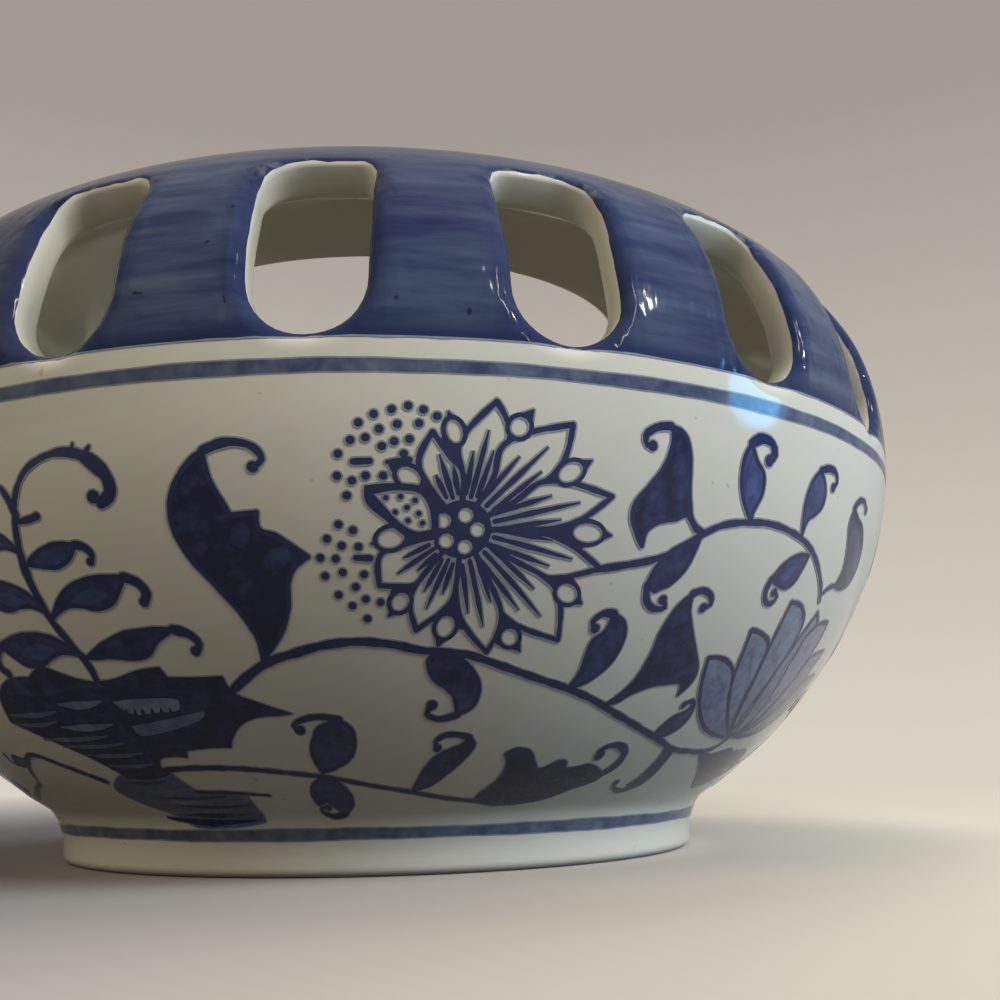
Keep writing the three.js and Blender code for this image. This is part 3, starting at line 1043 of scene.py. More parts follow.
# Each row gives a leaf's base, its two sides, its curl, the strength of its wash, and what else it has
RIGHT_LEAVES = (
    ((11.3, 20.4), [(12.8, 19.8), (14.2, 18.3), (14.8, 16.6), (14.5, 14.9), (13, 13.9)],
     [(12.8, 14.9), (12.4, 16), (11.6, 16.9), (10.2, 18), (9.8, 20)],
     [(11.2, 13.4), (10.0, 14.0), (10.4, 15.0)], 0.3, {"ball": 0.6}),
    ((23.8, 16.8), [(26, 17.8), (27.6, 19.8), (28.1, 22), (27.6, 23.8), (26.3, 24.6)],
     [(25.9, 22.9), (25, 22), (24.7, 20.5), (24.6, 18.5)],
     [(25.2, 24.6), (24.4, 23.8), (24.8, 23.1)], 0.4, {}),
    ((29, 15.1), [(30.5, 16.6), (31.5, 18.6), (31.9, 21), (32.1, 23.5), (33, 25.7), (34.2, 27.0)],
     [(34.5, 25.2), (35.5, 23.6), (37, 21.5), (38.6, 19.5), (39.0, 18), (38, 16.3), None,
      (37.5, 17.6), (35.8, 17.6), (33.5, 17.2), (31.5, 16.3), (30.2, 15.3)],
     [(35.3, 27.4), (36.5, 26.9), (36.8, 26.1), (36.0, 25.7)], 0.15, {}),
    ((33.3, 32.9), [(32, 33.8), (31.3, 35.6), (30.9, 38), (30.6, 40), (29.9, 41.3), (28.6, 41.8)],
     [(28.9, 40.9), (28.7, 39.3), (28.0, 37.7), (27, 36.2), (26.1, 35), (26, 33.5), (26.8, 31.9),
      (27.4, 31.1), None, (27.6, 32.5), (28.7, 33.4), (30.2, 33.7), (31.3, 34.2), (32.6, 32.9)],
     [(27.2, 41.5), (26.3, 40.7), (26.5, 39.9), (27, 39.9)], 0.2, {}),
    ((33.2, 32.2), [(31.5, 31.5), (30.3, 30.6), (29.3, 29.2), (28.9, 27.5)],
     [(29.8, 27), (30.3, 27.3), (31.3, 27.8), (32.3, 29), (33, 31)],
     [(29.3, 26), (30.3, 25.3), (31.5, 25.5), (31.0, 26.2)], 0.35, {}),
    ((38.8, 34.4), [(37.4, 36), (36.6, 38), (36.6, 40), (37.3, 41.5)],
     [(38.2, 40), (39.2, 39), (39.4, 37), (38.7, 35.2)],
     [(38.6, 42.2), (39.9, 41.9), (40.3, 41), (39.7, 40.3)],
     0.75, {"ball": 0.6, "curl_widths": (1.0, 0.9), "light": (
         [(37.6, 36.6), (37.3, 38.4), (37.6, 40), (38.5, 38.6), (38.5, 37), (37.6, 36.6)], 1.1)}),
    ((46.6, 34), [(46.1, 36), (46, 38), (46.6, 39.6), (47.7, 40.7)],
     [(48.6, 39.8), (49.1, 38.6), (49, 37.4), (48, 36.4), (47, 35.7)],
     [(49.2, 41.2), (50.6, 41.0), (51, 40.2), (50.4, 39.5)], 0.7, {}),
    ((48.9, 32.3), [(46.8, 32), (45, 30.8), (44, 29.3)], [(45.8, 28.7), (47, 28.7), (48, 29.5), (48.6, 31)],
     [(43.8, 27.9), (44.5, 26.9), (45.5, 26.9), (45.9, 27.6), (45.2, 28)],
     0.6, {"light": ([(47.6, 31.2), (46, 30.4), (45.2, 29.5), (46.6, 29.5), (47.6, 31.2)], 0.95)}),
    ((57.2, 30.0), [(57.9, 31.6), (57.6, 33.4), (56.7, 35), (55.9, 36.8), (56.3, 38.4)],
     [(57.9, 37.6), (60, 36.9), (61.9, 35), (62.6, 32.6), (61.6, 30.8), (59.4, 30.0)],
     [(57.4, 39.4), (59, 39.6), (60, 38.9)], 0.3, {}),
    ((38, 10.8), [(39.8, 11.0), (41.5, 12.2), (41.9, 13.8), (41.3, 15.0)],
     [(40.6, 14.1), (39.3, 13.5), (38.2, 12)], [(40.6, 15.5), (39.8, 15.0)], 0.55, {}),
    ((41.5, 9.5), [(43.3, 8.8), (43.7, 6), (43.2, 3.8), (41.5, 2.9)],
     [(40.5, 3.5), (41.2, 4.3), (41.7, 6), (42, 8)], [(39.7, 2.6), (38, 3.3), (37.8, 4.0)], 0.3, {}),
    ((9.3, 3.8), [(11.5, 4.8), (13.6, 7), (15, 9), (15.4, 10.3), (14.7, 11.1)],
     [(14.2, 10.3), (13, 9.6), (11.5, 8.7), (10.4, 7), (9.7, 5)],
     [(13.3, 11.5), (12, 11.4), (11.2, 10.6), (11.5, 9.8)], 0.25, {}),
    ((-1.2, 6.8), [(0.5, 7.5), (2, 8.6), (2.7, 10.5), (2.5, 12.3), (1.3, 13.5)],
     [(-0.9, 12.5), (-1.3, 11.6), (-1.9, 10), (-1.7, 8.3)],
     [(-0.5, 13.9), (-2.3, 13.6), (-3.3, 12.9), (-2.7, 12.4)], 0.45, {"ball": 0.6}),
    ((-1.3, 6.2), [(0.5, 5.2), (1.6, 3.5), (1.7, 1.5), (0.7, 0.2)],
     [(-0.4, 1.2), (-1.4, 2.4), (-2.5, 1.8), (-3, 3.3), (-2.6, 5)],
     [(-0.9, -0.2), (-2.2, 0.4), (-2.3, 1.2), (-1.5, 1.3)], 0.45, {"ball": 0.6}),
    ((17.5, 1.9), [(17.9, 2.9), (18.8, 4), (19.8, 5.5), (20, 7.5), (19.4, 8.9)],
     [(20.5, 9.5), (22, 9.2), (23, 8), (24, 6.6), None, (25, 6.7), (26.4, 7.7), (27.4, 7.6), (27.7, 6.5),
      None, (29.5, 6.7), (31, 7.0), (33.3, 6.0), None, (34, 5), (31, 3.5), (28, 2), (24.5, 1.2), (20, 1.1)],
     (), 0.0, {}),
)


def right_leaves(sheet):
    """The curled leaves along the stems to the right of the open flower."""
    for base, over, under, curl, wash, more in RIGHT_LEAVES:
        sheet.leaf(base, over, under, curl, wash, **more)
    sheet.stroke(
        [(32.5, 5.2), (34.4, 5.9), (35.4, 7.3), (35.2, 8.8), (33.8, 9.7), (32.3, 9.7), (31.3, 8.9)],
        (1.1, 1.2, 0.9, 0.7),
    )
    sheet.dot((31.7, 8.4), 0.7)
    sheet.leaf(
        (50, 8.5), [(53, 8.0), (58, 8.8), (61, 7.5), (64, 5.2), (67, 4.4)],
        [(64, 3.2), (60, 2.4), (55, 5.3)], wash=0.35,
    )


ASTER_CENTRE = np.array((11.8, 31.8))

# How far out the sides of a petal begin and part, the widest half gap to the next one, and how far out the
# tip of a long petal is
ASTER_ROOTS = (2.4, 5.0)
ASTER_GAP = 20
ASTER_LONG = 11

# The left side, the tip and the right side of each long petal
ASTER_PETALS = (
    ((11.2, 38.7), (14.0, 42.5), (15.1, 39.8)), ((14.6, 38.9), (20.0, 41.0), (19.2, 37.4)),
    ((18.0, 36.1), (23.9, 35.2), (20.6, 32.6)), ((19.8, 31.3), (23.9, 28.8), (18.8, 27.8)),
    ((20.2, 26.8), (21.4, 21.9), (15.9, 24.2)), ((15.8, 23.9), (14.9, 20.6), (12.3, 23.8)),
    ((11.3, 25.4), (8.5, 22.8), (7.9, 25.8)), ((8.3, 27.0), (5.4, 26.9), (5.5, 29.6)),
    ((8.3, 37.4), (9.3, 39.8), (10.7, 37.8)),
)

# The place of each pearl, the tip of the point behind it, and its two radii
ASTER_PEARLS = (
    ((15.8, 40.5), (16.9, 42.1), 0.85, 0.8), ((20.1, 37.0), (21.9, 38.2), 1.15, 0.8),
    ((22.2, 31.9), (24.5, 31.8), 1.4, 0.85), ((21.3, 26.4), (23.0, 25.4), 1.1, 0.85),
    ((16.8, 22.1), (18.1, 20.6), 0.9, 0.8), ((11.0, 23.1), (10.4, 21.0), 1.05, 0.85),
    ((7.1, 25.4), (6.1, 24.0), 0.9, 0.75), ((6.3, 31.0), (4.7, 30.5), 1.15, 0.85),
    ((7.6, 36.1), (5.9, 37.4), 1.05, 0.75), ((10.9, 39.9), (10.4, 41.6), 1.0, 0.65),
)

# Each vein of a petal: how far it is to the left, where it starts, and its end as a share of the petal
ASTER_VEINS = ((0.95, 3.0, 0.6), (0.05, 2.8, 0.78), (-0.9, 3.0, 0.64))
ASTER_SEEDS = ((12.0, 33.0), (10.3, 32.5), (13.0, 31.8), (10.6, 30.8), (12.1, 30.3))
BUD_SEEDS = (
    (5.9, 34.4), (7.0, 34.5), (8.1, 34.2), (7.5, 33.6), (6.6, 33.2), (8.4, 33.1), (7.6, 32.5), (8.7, 32.3),
)
ASTER_DOTS = (
    (2.3, 36.2), (2.4, 38), (3.3, 39.1), (3.9, 40.5), (5, 41.2), (6.3, 41.6), (7.5, 41.9), (8.6, 41.6),
    (9.6, 41.1), (3.0, 34.6), (3.4, 35.8), (4.4, 39.3), (5.4, 40), (6.7, 40.4), (4.4, 36.2), (5.7, 36.2),
    (5.6, 38.6), (6.5, 39), (7.6, 39.2), (7.2, 38.0), (8.3, 40.5), (2.3, 32.2), (3.4, 31.7), (1.4, 31),
    (2.5, 30.4), (3.8, 30.3), (0.8, 29.4), (2, 29.3), (1.1, 27.8), (2.5, 28.1), (4.2, 27.9), (3.5, 26.8),
    (2.1, 26.1), (4.3, 25.7), (3.2, 25.1), (5.5, 25.4), (4.4, 23.9),
)


def pearl_leans(sheet):
    """Draws the dark points behind the pearls, and gives how far each pearl leans."""
    leans = []
    for place, tip, _, across in ASTER_PEARLS:
        out = (np.array(tip) - place) * (SQUASH, 1)
        out /= np.hypot(*out)
        leans.append(math.degrees(math.atan2(out[1], out[0])))
        side = np.array([-out[1], out[0]]) / (SQUASH, 1) * (across + 0.55)
        inward = -out / (SQUASH, 1)
        at = np.array(place) + 0.3 * inward
        left, right = (at + side, at + side + 2 * inward), (at - side + 2 * inward, at - side)
        sheet.fill([tip, None, left[0], None, left[1], None, right[0], None, right[1], None, tip], LINE)
    return leans


def aster(sheet):
    """The open flower: long veined petals round a seeded disc, pearls between their tips, and dots beside."""
    centre = ASTER_CENTRE
    tips = np.array([(np.array(tip) - centre) * (SQUASH, 1) for _, tip, _ in ASTER_PETALS])
    angles = np.degrees(np.arctan2(tips[:, 1], tips[:, 0]))
    ground = [step for place, *_ in ASTER_PEARLS for step in (place, None)]
    sheet.fill(ground + [ASTER_PEARLS[0][0]], LINE)
    leans = pearl_leans(sheet)
    for i, (left, tip, right) in enumerate(ASTER_PETALS):
        angle, size = math.radians(angles[i]), math.hypot(*tips[i])
        beside_it = (angles[i - 1], angles[(i + 1) % len(angles)])
        gaps = [abs((other - angles[i] + 180) % 360 - 180) / 2 for other in beside_it]
        left_gap, right_gap = (math.radians(min(gap, ASTER_GAP)) for gap in gaps)

        def spot(out, aside):
            """A place in the petal, from how far out it is and how far to the left."""
            x = out * math.cos(angle) - aside * math.sin(angle)
            y = out * math.sin(angle) + aside * math.cos(angle)
            return centre + np.array((x, y)) / (SQUASH, 1)

        def beside(out, gap):
            """A place on the line that the petal shares with the next one."""
            return spot(out * math.cos(gap), out * math.sin(gap))

        left_root = [beside(out, left_gap) for out in ASTER_ROOTS]
        right_root = [beside(out, -right_gap) for out in reversed(ASTER_ROOTS)]
        around = [*left_root, left, tip, None, right, *right_root]
        sheet.fill(around, BARE)
        sheet.stroke(around, (0.5, 0.5))
        width = 1.0 if size > ASTER_LONG else 0.72
        for aside, start, end in ASTER_VEINS:
            vein = [spot(start + (end * size - start) * t, aside * width * (0.75 + 0.45 * t))
                    for t in (0, 0.35, 0.7, 1)]
            sheet.stroke(vein, (0.4, 0.5, 0.42, 0.1))
    for (place, _, along, across), lean in zip(ASTER_PEARLS, leans):
        sheet.disc(place, along + 0.4, across + 0.4, lean, LINE)
        sheet.dot(place, across, BARE, stretch=along / across, lean=lean)
    sheet.dot(centre, 2.5, LINE)
    for place in ASTER_SEEDS:
        sheet.disc(place, 1.05, 1.05, 0, LINE)
    for place in ASTER_SEEDS:
        sheet.dot(place, 0.66, BARE)
    sheet.fill(
        [(10.0, 31.3), (7.8, 31.0), (5.9, 32.5), (4.4, 34.0), (4.3, 35.4), None, (6.9, 35.6), (9.2, 35.1),
         (9.8, 33.6), (10.0, 31.3)], LINE,
    )
    sheet.fill(
        [(9.4, 31.8), (8.2, 31.6), (6.9, 32.4), (5.9, 33.6), (5.0, 34.7), None, (6.9, 35.0), (8.5, 34.7),
         (9.2, 33.5), (9.4, 31.8)], BARE,
    )
    for places, radius in ((BUD_SEEDS, 0.24), (ASTER_DOTS, 0.36)):
        for place in places:
            sheet.dot(place, radius)
    for dash, widths in (
        ([(3.5, 37.35), (4.7, 37.4)], (0.6,)), ([(3.6, 29.35), (4.7, 29.3)], (0.6,)),
        ([(6.0, 37.3), (7.6, 37.5)], (0.4, 0.6)),
    ):
        sheet.stroke(dash, widths)


LOTUS_BASE = (54.3, 10.8)

# The right petals mirror the left ones, moved this far to the right and drawn towards a level by this factor
LOTUS_SHIFT = 0.9
LOTUS_LEVEL = 11
LOTUS_LOWERED = 0.92

# The left side of each petal, its tip, its right side and the strength of its wash
LOTUS_PETALS = (
    ([(54, 13), (53.4, 18), (54.2, 23)], (55.8, 26.8),
     [(57.6, 25.1), (58.3, 22.3), (57.8, 17), (56, 12.5)], 0.55),
    ([(52.5, 12.2), (50.8, 15), (49.1, 21), (48.8, 25)], (49, 27.3),
     [(51.5, 27), (53.4, 25.3), (53.7, 22), (53, 17), (53.2, 12)], 0.5),
    ([(51, 11.7), (47.5, 14.5), (45.2, 19)], (44.2, 23.9),
     [(46.5, 23.5), (48.3, 22.6), (49.1, 20), (50.2, 15.5), (52.3, 12)], 0.4),
    ([(51, 10.9), (46.6, 11.9), (43, 14.3), (40.8, 17.2)], (39.6, 20.5),
     [(41.6, 20.6), (44.5, 19.3), (46.5, 16.5), (48.5, 14.3), (51.5, 12)], 0.35),
)


def lotus(sheet):
    """The closed flower at the right, in a pale wash, with its left petals repeated lower at its right."""
    base = LOTUS_BASE
    mirror = 2 * base[0] + LOTUS_SHIFT

    def far(points):
        return [(mirror - t, LOTUS_LEVEL + LOTUS_LOWERED * (r - LOTUS_LEVEL)) for t, r in points]

    def vein(tip, share):
        return share * tip[0] + (1 - share) * base[0], share * tip[1] + (1 - share) * base[1]

    for i, (left, tip, right, wash) in enumerate(LOTUS_PETALS):
        if i:
            around = far([base, *right[::-1]]) + far([tip]) + [None] + far([*left[::-1], base])
            sheet.fill(around, PETAL, wash + 0.15)
            sheet.stroke(around, (0.55,))
        sheet.outlined([base, *left, tip, None, *right, base], PETAL, wash, 0.55)
        sheet.stroke([vein(tip, 0.6), vein(tip, 0.85)], (0.15, 0.5, 0.2), PETAL, wash - 0.25)


# Each streak runs from one turn to another at a rise, with its width, its tone and the strength of its wash
PEONY_STREAKS = (
    (-35, -25.5, 17.9, 0.6, LEAF, 0.4), (-28.4, -19.5, 18.4, 0.5, LEAF, 0.25),
    (-20, -12.5, 11.0, 0.5, LEAF, 0.3), (-16, -8, 17.3, 0.5, LEAF, 0.2), (-14, -7, 15.6, 0.5, LEAF, 0.22),
    (-24, -14, 3.4, 0.5, LEAF, 0.3), (-22, -11.5, 1.9, 0.5, LEAF, 0.1), (-24, -12, 0.4, 0.8, LEAF, 0.0),
    (-27, -21, 5.9, 0.6, LEAF, 0.5), (-37.5, -29.5, 15.4, 0.6, PETAL, 0.0),
    (-37.6, -30.5, 14.2, 0.5, PETAL, 0.0), (-35, -24.6, 12.2, 0.6, PETAL, 0.0),
    (-32.6, -23.2, 11.2, 0.5, PETAL, 0.0), (-30.2, -21.5, 9.9, 0.55, PETAL, 0.0),
    (-28, -21, 8.4, 0.5, PETAL, 0.0), (-28.8, -22.9, 16.3, 0.9, PETAL, 0.35),
    (-30.5, -23, 13.6, 0.8, PETAL, 0.35), (-27, -19, 4.6, 0.5, PETAL, 0.3), (-26, -17, 2.7, 0.5, PETAL, 0.25),
    (-20, -13, 1.1, 0.5, PETAL, 0.3),
)


def peony(sheet):
    """The dark toothed blossom at the left, with pale streaks, over a smaller one near the foot."""
    sheet.fill(
        [(-19.6, 7.2), (-18.6, 5.6), (-17.4, 4.2), None, (-13, 4.1), (-11.3, 3.2), None, (-10.9, 1.2),
         (-10.6, -0.8), None, (-16, -1.4), (-22, -1.2), (-25, 0.6), (-28, 2.4), (-30.2, 4.6), (-27.5, 6.8),
         None, (-23, 7.6), (-19.6, 7.2)], PETAL,
    )
    sheet.fill(
        [(-38.5, 14.5), (-37, 17.6), (-34, 19.4), (-30.5, 19.5), None, (-29, 20.3), (-27.8, 20.5),
         (-26, 19.7), (-24, 18.9), (-22.5, 18.6), None, (-20, 18.8), (-17.5, 19.5), (-14.9, 19.8), None,
         (-14.4, 18.7), None, (-12, 18.6), (-9, 18.6), None, (-8.4, 16.9), (-6, 15.6), (-3, 14.3), None,
         (-4.5, 14.1), (-6.5, 14), (-8.5, 13.2), (-10.2, 11.2), None, (-10.5, 10.4), None, (-13, 10.4),
         (-15.8, 10.1), None, (-16.2, 9.2), None, (-18, 9.4), (-19.8, 9.0), (-20.3, 8), (-19.6, 7.0), None,
         (-23, 6.2), (-26.4, 6.4), None, (-28, 8.2), (-31, 10.4), (-35, 12.6), (-38.5, 14.5)], LEAF, 0.08,
    )
    for left, right, rise, width, tone, wash in PEONY_STREAKS:
        third = (right - left) / 3
        path = [(left, rise), (left + third, rise - 0.2), (right - third, rise - 0.2), (right, rise + 0.1)]
        sheet.stroke(path, (0.15, width, width, 0.15), tone, wash)
    sheet.fill(
        [(-21.6, 16.3), (-18, 16.5), (-14.2, 16.1), (-14.6, 15.1), (-17, 14.9), (-20, 14.8), (-21.6, 16.3)],
        PETAL, 0.6,
    )
    sheet.fill(
        [(-20.8, 13.4), (-18, 13.8), (-15, 14.3), (-12, 14.9), None, (-12.2, 14.2), (-15, 13.1), (-18, 12.4),
         (-20.6, 12.3), (-20.8, 13.4)], PETAL, 0.2,
    )
    for turn in (-20.6, -19.6, -18.7, -17.6, -16.6, -15.6):
        sheet.stroke([(turn, 14.6), (turn + 0.15, 15.4)], (0.6, 0.15), LEAF)
    sheet.stroke([(-17.9, 4.2), (-13, 4.0), (-8.4, 3.5)], (0.5, 0.55, 0.3))
    sheet.stroke([(-26, -0.2), (-20, -0.8), (-12, -0.6)], (0.3, 0.9, 0.2), LEAF)
    sheet.stroke([(-46.5, 5.6), (-43.2, 8.9), (-40, 10.1), (-35, 8.2), (-30.5, 6)], (0.3, 0.6, 0.65, 0.8))
    side_leaves(sheet, (((-41.5, 9.9), 0.6, 172, False),))


def fruit(sheet):
    """A round fruit with a crown, and a window of seeds in its side."""
    outline = [(103, 15.6), (98.6, 16.6), (95.2, 20), (94.4, 24.4), (96.1, 28.9), (99.4, 31.9), (103, 33),
               None, (106.6, 31.9), (109.9, 28.9), (111.6, 24.4), (110.8, 20), (107.4, 16.6), (103, 15.6)]
    sheet.outlined(outline, PETAL, 0.45, 0.6)
    sheet.fill(
        [(101.2, 16.4), (97.6, 18.6), (95.7, 22.6), (96.1, 26.9), (98.6, 30.4), None, (98.2, 26.6),
         (97.9, 22.6), (98.9, 19), (101.2, 16.4)], LEAF, 0.3,
    )
    window = [(104.2, 18.6), (107.4, 20.2), (109, 23.8), (107.8, 27.8), (104.6, 30), (101.8, 27.6),
              (100.8, 23.8), (101.7, 20.4), (104.2, 18.6)]
    sheet.fill(window, BARE)
    sheet.stroke(window, (0.5,))
    for place in (
        (104.4, 20.2), (103.1, 21.7), (105.8, 21.5), (102.4, 23.7), (104.8, 23.3), (107.2, 23.4),
        (103.4, 25.5), (106.0, 25.3), (104.7, 27.4), (102.9, 27.3), (106.6, 27.1), (104.6, 28.8),
    ):
        sheet.dot(place, 0.42)
    sheet.leaf(
        (103, 32.2), [(101.4, 32.4), (100.2, 34.4), (98.9, 37.6), None, (101.6, 35.9), None, (103, 39.6)],
        [(104.4, 35.9), None, (107.1, 37.6), None, (105.8, 34.4), (104.6, 32.4)], wash=0.2,
    )


def far_side(sheet):
    """The branch, the fruit and the curls between the closed flower and the dark blossom."""
    sheet.stroke(
        [(61, 3), (66, 4.2), (72, 6.6), (77.5, 10.4), (82, 15.4), (85, 21), (86.5, 27), (86.2, 32.6),
         (84.4, 37.2), (81, 39.8), (77.4, 39.6), (75.2, 37.4), (75.6, 34.8), (77.4, 34.2)],
        (0.6, 0.75, 0.8, 0.85, 0.8, 0.7, 0.6, 0.7, 1.2, 0.9),
    )
    sheet.dot((77.9, 34.7), 0.65)
    sheet.stroke([(82.6, 38.9), (83.3, 39.9)], (0.6, 0.25))
    sheet.stroke([(80.2, 39.8), (80.2, 40.9)], (0.6, 0.25))
    sheet.stroke(
        [(74.4, 8.1), (80, 7.8), (86, 7.9), (92, 8.8), (97, 10.4), (101, 12.9), (103, 15.8)],
        (0.6, 0.75, 0.75, 0.9),
    )
    sheet.stroke(
        [(92, 8.8), (98, 6.8), (104, 5.6), (110.5, 6.0), (117, 8.4), (122, 12.2), (126, 17.4), (128.2, 23.4),
         (128.2, 29.4), (126.2, 34.4), (122.8, 37.4), (119, 37.4), (117.2, 35.2), (118, 32.8), (119.8, 32.6)],
        (0.6, 0.7, 0.75, 0.8, 0.8, 0.7, 0.6, 0.7, 1.2, 0.9),
    )
    sheet.dot((120.2, 33.1), 0.65)
    sheet.stroke(
        [(104, 5.6), (110, 3.4), (117, 2.4), (124, 3.0), (131, 4.9), (133.5, 5.6)], (0.5, 0.6, 0.6, 0.45),
    )
    side_leaves(sheet, (
        ((80.2, 13.2), 1.0, -8, True), ((83.2, 17.2), 0.85, 8, False), ((85, 21.2), 1.0, -10, True),
        ((86.1, 25.2), 0.75, 12, False), ((86.4, 29.6), 0.9, -14, True), ((69.5, 5.6), 1.05, 4, True),
        ((119.4, 10), 0.95, 8, True), ((123.8, 14.2), 0.9, 0, False), ((126.4, 18.4), 0.95, -2, True),
        ((128, 22.6), 0.85, 12, False), ((128.3, 27.4), 0.85, -12, True), ((127.6, 31.2), 0.7, 16, False),
        ((84, 7.8), 0.8, -150, False), ((111.4, 6.2), 0.9, 6, False), ((117, 2.5), 0.75, 10, False),
        ((88.5, 8.1), 0.8, 20, False),
    ))
    fruit(sheet)


def draw_tile():
    """The faces of one tile of the scroll, with their tones. What is drawn later covers what came before."""
    sheet = Sheet()
    for motif in (far_side, stems, right_leaves, left_branch, big_leaf, peony, lotus, aster):
        motif(sheet)
    return sheet.cut()


# Shader maths


class Shade:
    """A value in a material. Sums, products and the like of it add Math nodes."""

    def __init__(self, tree, socket):
        self.tree = tree
        self.socket = socket

    def math(self, operation, *terms):
        node = self.tree.nodes.new("ShaderNodeMath")
        node.operation = operation
        for term, socket in zip(terms, node.inputs):
            plug(self.tree, term, socket)
        return Shade(self.tree, node.outputs[0])

    def __add__(self, other):
        return self.math("ADD", self, other)

    def __radd__(self, other):
        return self.math("ADD", other, self)

    def __sub__(self, other):
        return self.math("SUBTRACT", self, other)

    def __rsub__(self, other):
        return self.math("SUBTRACT", other, self)

    def __mul__(self, other):
        return self.math("MULTIPLY", self, other)

    def __rmul__(self, other):
        return self.math("MULTIPLY", other, self)

    def __truediv__(self, other):
        return self.math("DIVIDE", self, other)

    def clamp(self):
        return self.math("MINIMUM", self.math("MAXIMUM", self, 0.0), 1.0)

    def ramp(self, low, high):
        """0 below low, 1 above high."""
        return ((self - low) / (high - low)).clamp()


def plug(tree, term, socket):
    """Puts a value or a colour in a socket, or joins a link to it."""
    if isinstance(term, Shade):
        tree.links.new(term.socket, socket)
    elif hasattr(term, "__len__") and len(socket.default_value) == 4:
        socket.default_value = (*term[:3], 1.0)
    else:
        socket.default_value = term


class Nodes:
    """The nodes of one material or world."""

    def __init__(self, tree):
        self.tree = tree

    def node(self, kind, settings, sockets, output=0):
        """A node of any kind, with its settings first and then what goes into its sockets."""
        node = self.tree.nodes.new(kind)
        for setting, value in settings.items():
            setattr(node, setting, value)
        for socket, value in sockets.items():
            plug(self.tree, value, node.inputs[socket])
        return Shade(self.tree, node.outputs[output])

    def mix(self, amount, first, second):
        """A colour between two others."""
        return self.node("ShaderNodeMix", {"data_type": "RGBA"}, {0: amount, 6: first, 7: second}, 2)

    def vector(self, operation, sockets, output=0):
        """A step of vector maths."""
        return self.node("ShaderNodeVectorMath", {"operation": operation}, sockets, output)

    def part(self, vector, axis):
        """One coordinate of a vector."""
        return self.node("ShaderNodeSeparateXYZ", {}, {"Vector": vector}, axis)

    def rays(self, *kinds):
        """Values that are 1 for a kind of ray, such as Camera or Glossy."""
        outputs = self.tree.nodes.new("ShaderNodeLightPath").outputs
        return [Shade(self.tree, outputs[f"Is {kind} Ray"]) for kind in kinds]

    def blend(self, amount, first, second, output):
        """Mixes two shaders and joins the outcome to the output node."""
        shader = self.node("ShaderNodeMixShader", {}, {0: amount, 1: first, 2: second})
        self.tree.links.new(shader.socket, self.tree.nodes[output].inputs["Surface"])


class Finish(Nodes):
    """A material on the glazed jar or the stage."""

    def __init__(self, name):
        self.material = bpy.data.materials.new(name)
        self.material.use_nodes = True
        super().__init__(self.material.node_tree)
        self.shader = self.tree.nodes["Principled BSDF"]
        self.place = self.node("ShaderNodeTexCoord", {}, {}, "Object")

    def set(self, **sockets):
        """Fills sockets of the surface's shader."""
        for socket, value in sockets.items():
            plug(self.tree, value, self.shader.inputs[socket.replace("_", " ")])

    def noise(self, size, detail=2.0, roughness=0.5, place=None):
        """Noise from 0 to 1 whose blotches are about size millimetres wide."""
        scale = {"Scale": 1 / (size * MM), "Detail": detail, "Roughness": roughness}
        return self.node("ShaderNodeTexNoise", {}, {"Vector": place or self.place, **scale}, "Fac")

    def scaled(self, x, y, z):
        """The place on the piece, stretched along the axes."""
        return self.vector("MULTIPLY", {0: self.place, 1: (x, y, z)})

    def swept(self, around, across):
        """A place that changes slowly round the jar and fast up its outline, for strokes on a turning jar."""
        flat = self.scaled(1.0, 1.0, 0.0)
        out = self.vector("LENGTH", {0: flat}, "Value")
        turn = self.vector("SCALE", {0: self.vector("NORMALIZE", {0: flat}), "Scale": around * MM})
        rise = across * (self.part(self.place, "Z") - out)
        return self.vector("ADD", {0: turn, 1: self.node("ShaderNodeCombineXYZ", {}, {"Z": rise})})

    def axis(self, name):
        """One coordinate of the place on the piece, in millimetres."""
        return self.part(self.place, name) / MM

    def written(self, name):
        """A value that is written on the mesh."""
        return self.node("ShaderNodeAttribute", {"attribute_name": name}, {}, "Fac")

    def blots(self, wide, narrow, low, high):
        """The dry and wet places that a brush leaves, from two sizes of noise."""
        return (0.6 * self.noise(wide, 3.0, 0.6) + 0.4 * self.noise(narrow)).ramp(low, high)

    def glaze(self, ripples=None):
        """The thick clear glaze over all: glossy, with faint waves, and with ripples where it pooled."""
        height = self.noise(9.0, 1.0) + 0.22 * self.noise(2.2, 1.0)
        if ripples is not None:
            height = height + ripples * self.noise(1.5, 1.0, place=self.scaled(1.0, 1.0, 0.45))
        bumps = {"Strength": 0.5, "Distance": 0.16 * MM, "Height": height}
        self.set(Normal=self.node("ShaderNodeBump", {}, bumps, "Normal"), IOR=1.5, Specular_IOR_Level=0.28)
        return 0.07 + 0.05 * self.noise(14.0)


def porcelain_finish():
    """Off-white porcelain under clear glaze, with painted shade on the cut faces and inside, and a bare rim
    where it stands.
    """
    p = paint()
    f = Finish("porcelain")
    warmer = [c * k for c, k in zip(p.porcelain, (1.03, 1.015, 0.985))]
    white = f.mix(f.noise(26.0).ramp(0.3, 0.7), p.porcelain, warmer)
    speck = f.noise(0.9, 0.0).ramp(0.85, 0.87)
    outside = f.mix(speck * 0.4, white, p.speck)
    # The cut faces and the inside take a darker colour, as painted shade
    glazed = f.mix(f.written("inside").ramp(0.6, 2.2), outside, p.inside_shade)
    bare = 1 - (f.axis("Z") + 0.5 * f.noise(3.0)).ramp(0.55, 0.95)
    f.set(Base_Color=f.mix(bare, glazed, p.unglazed), Roughness=f.glaze() + bare * 0.5)
    return f.material


def paint_finish(name, tone, contrast, lighter):
    """Cobalt paint under the glaze, mottled as a brush leaves it."""
    f = Finish(name)
    blots = f.blots(3.2, 1.1, 0.36, 0.66)
    f.set(Base_Color=f.mix(blots * contrast, tone, lighter), Roughness=f.glaze())
    return f.material


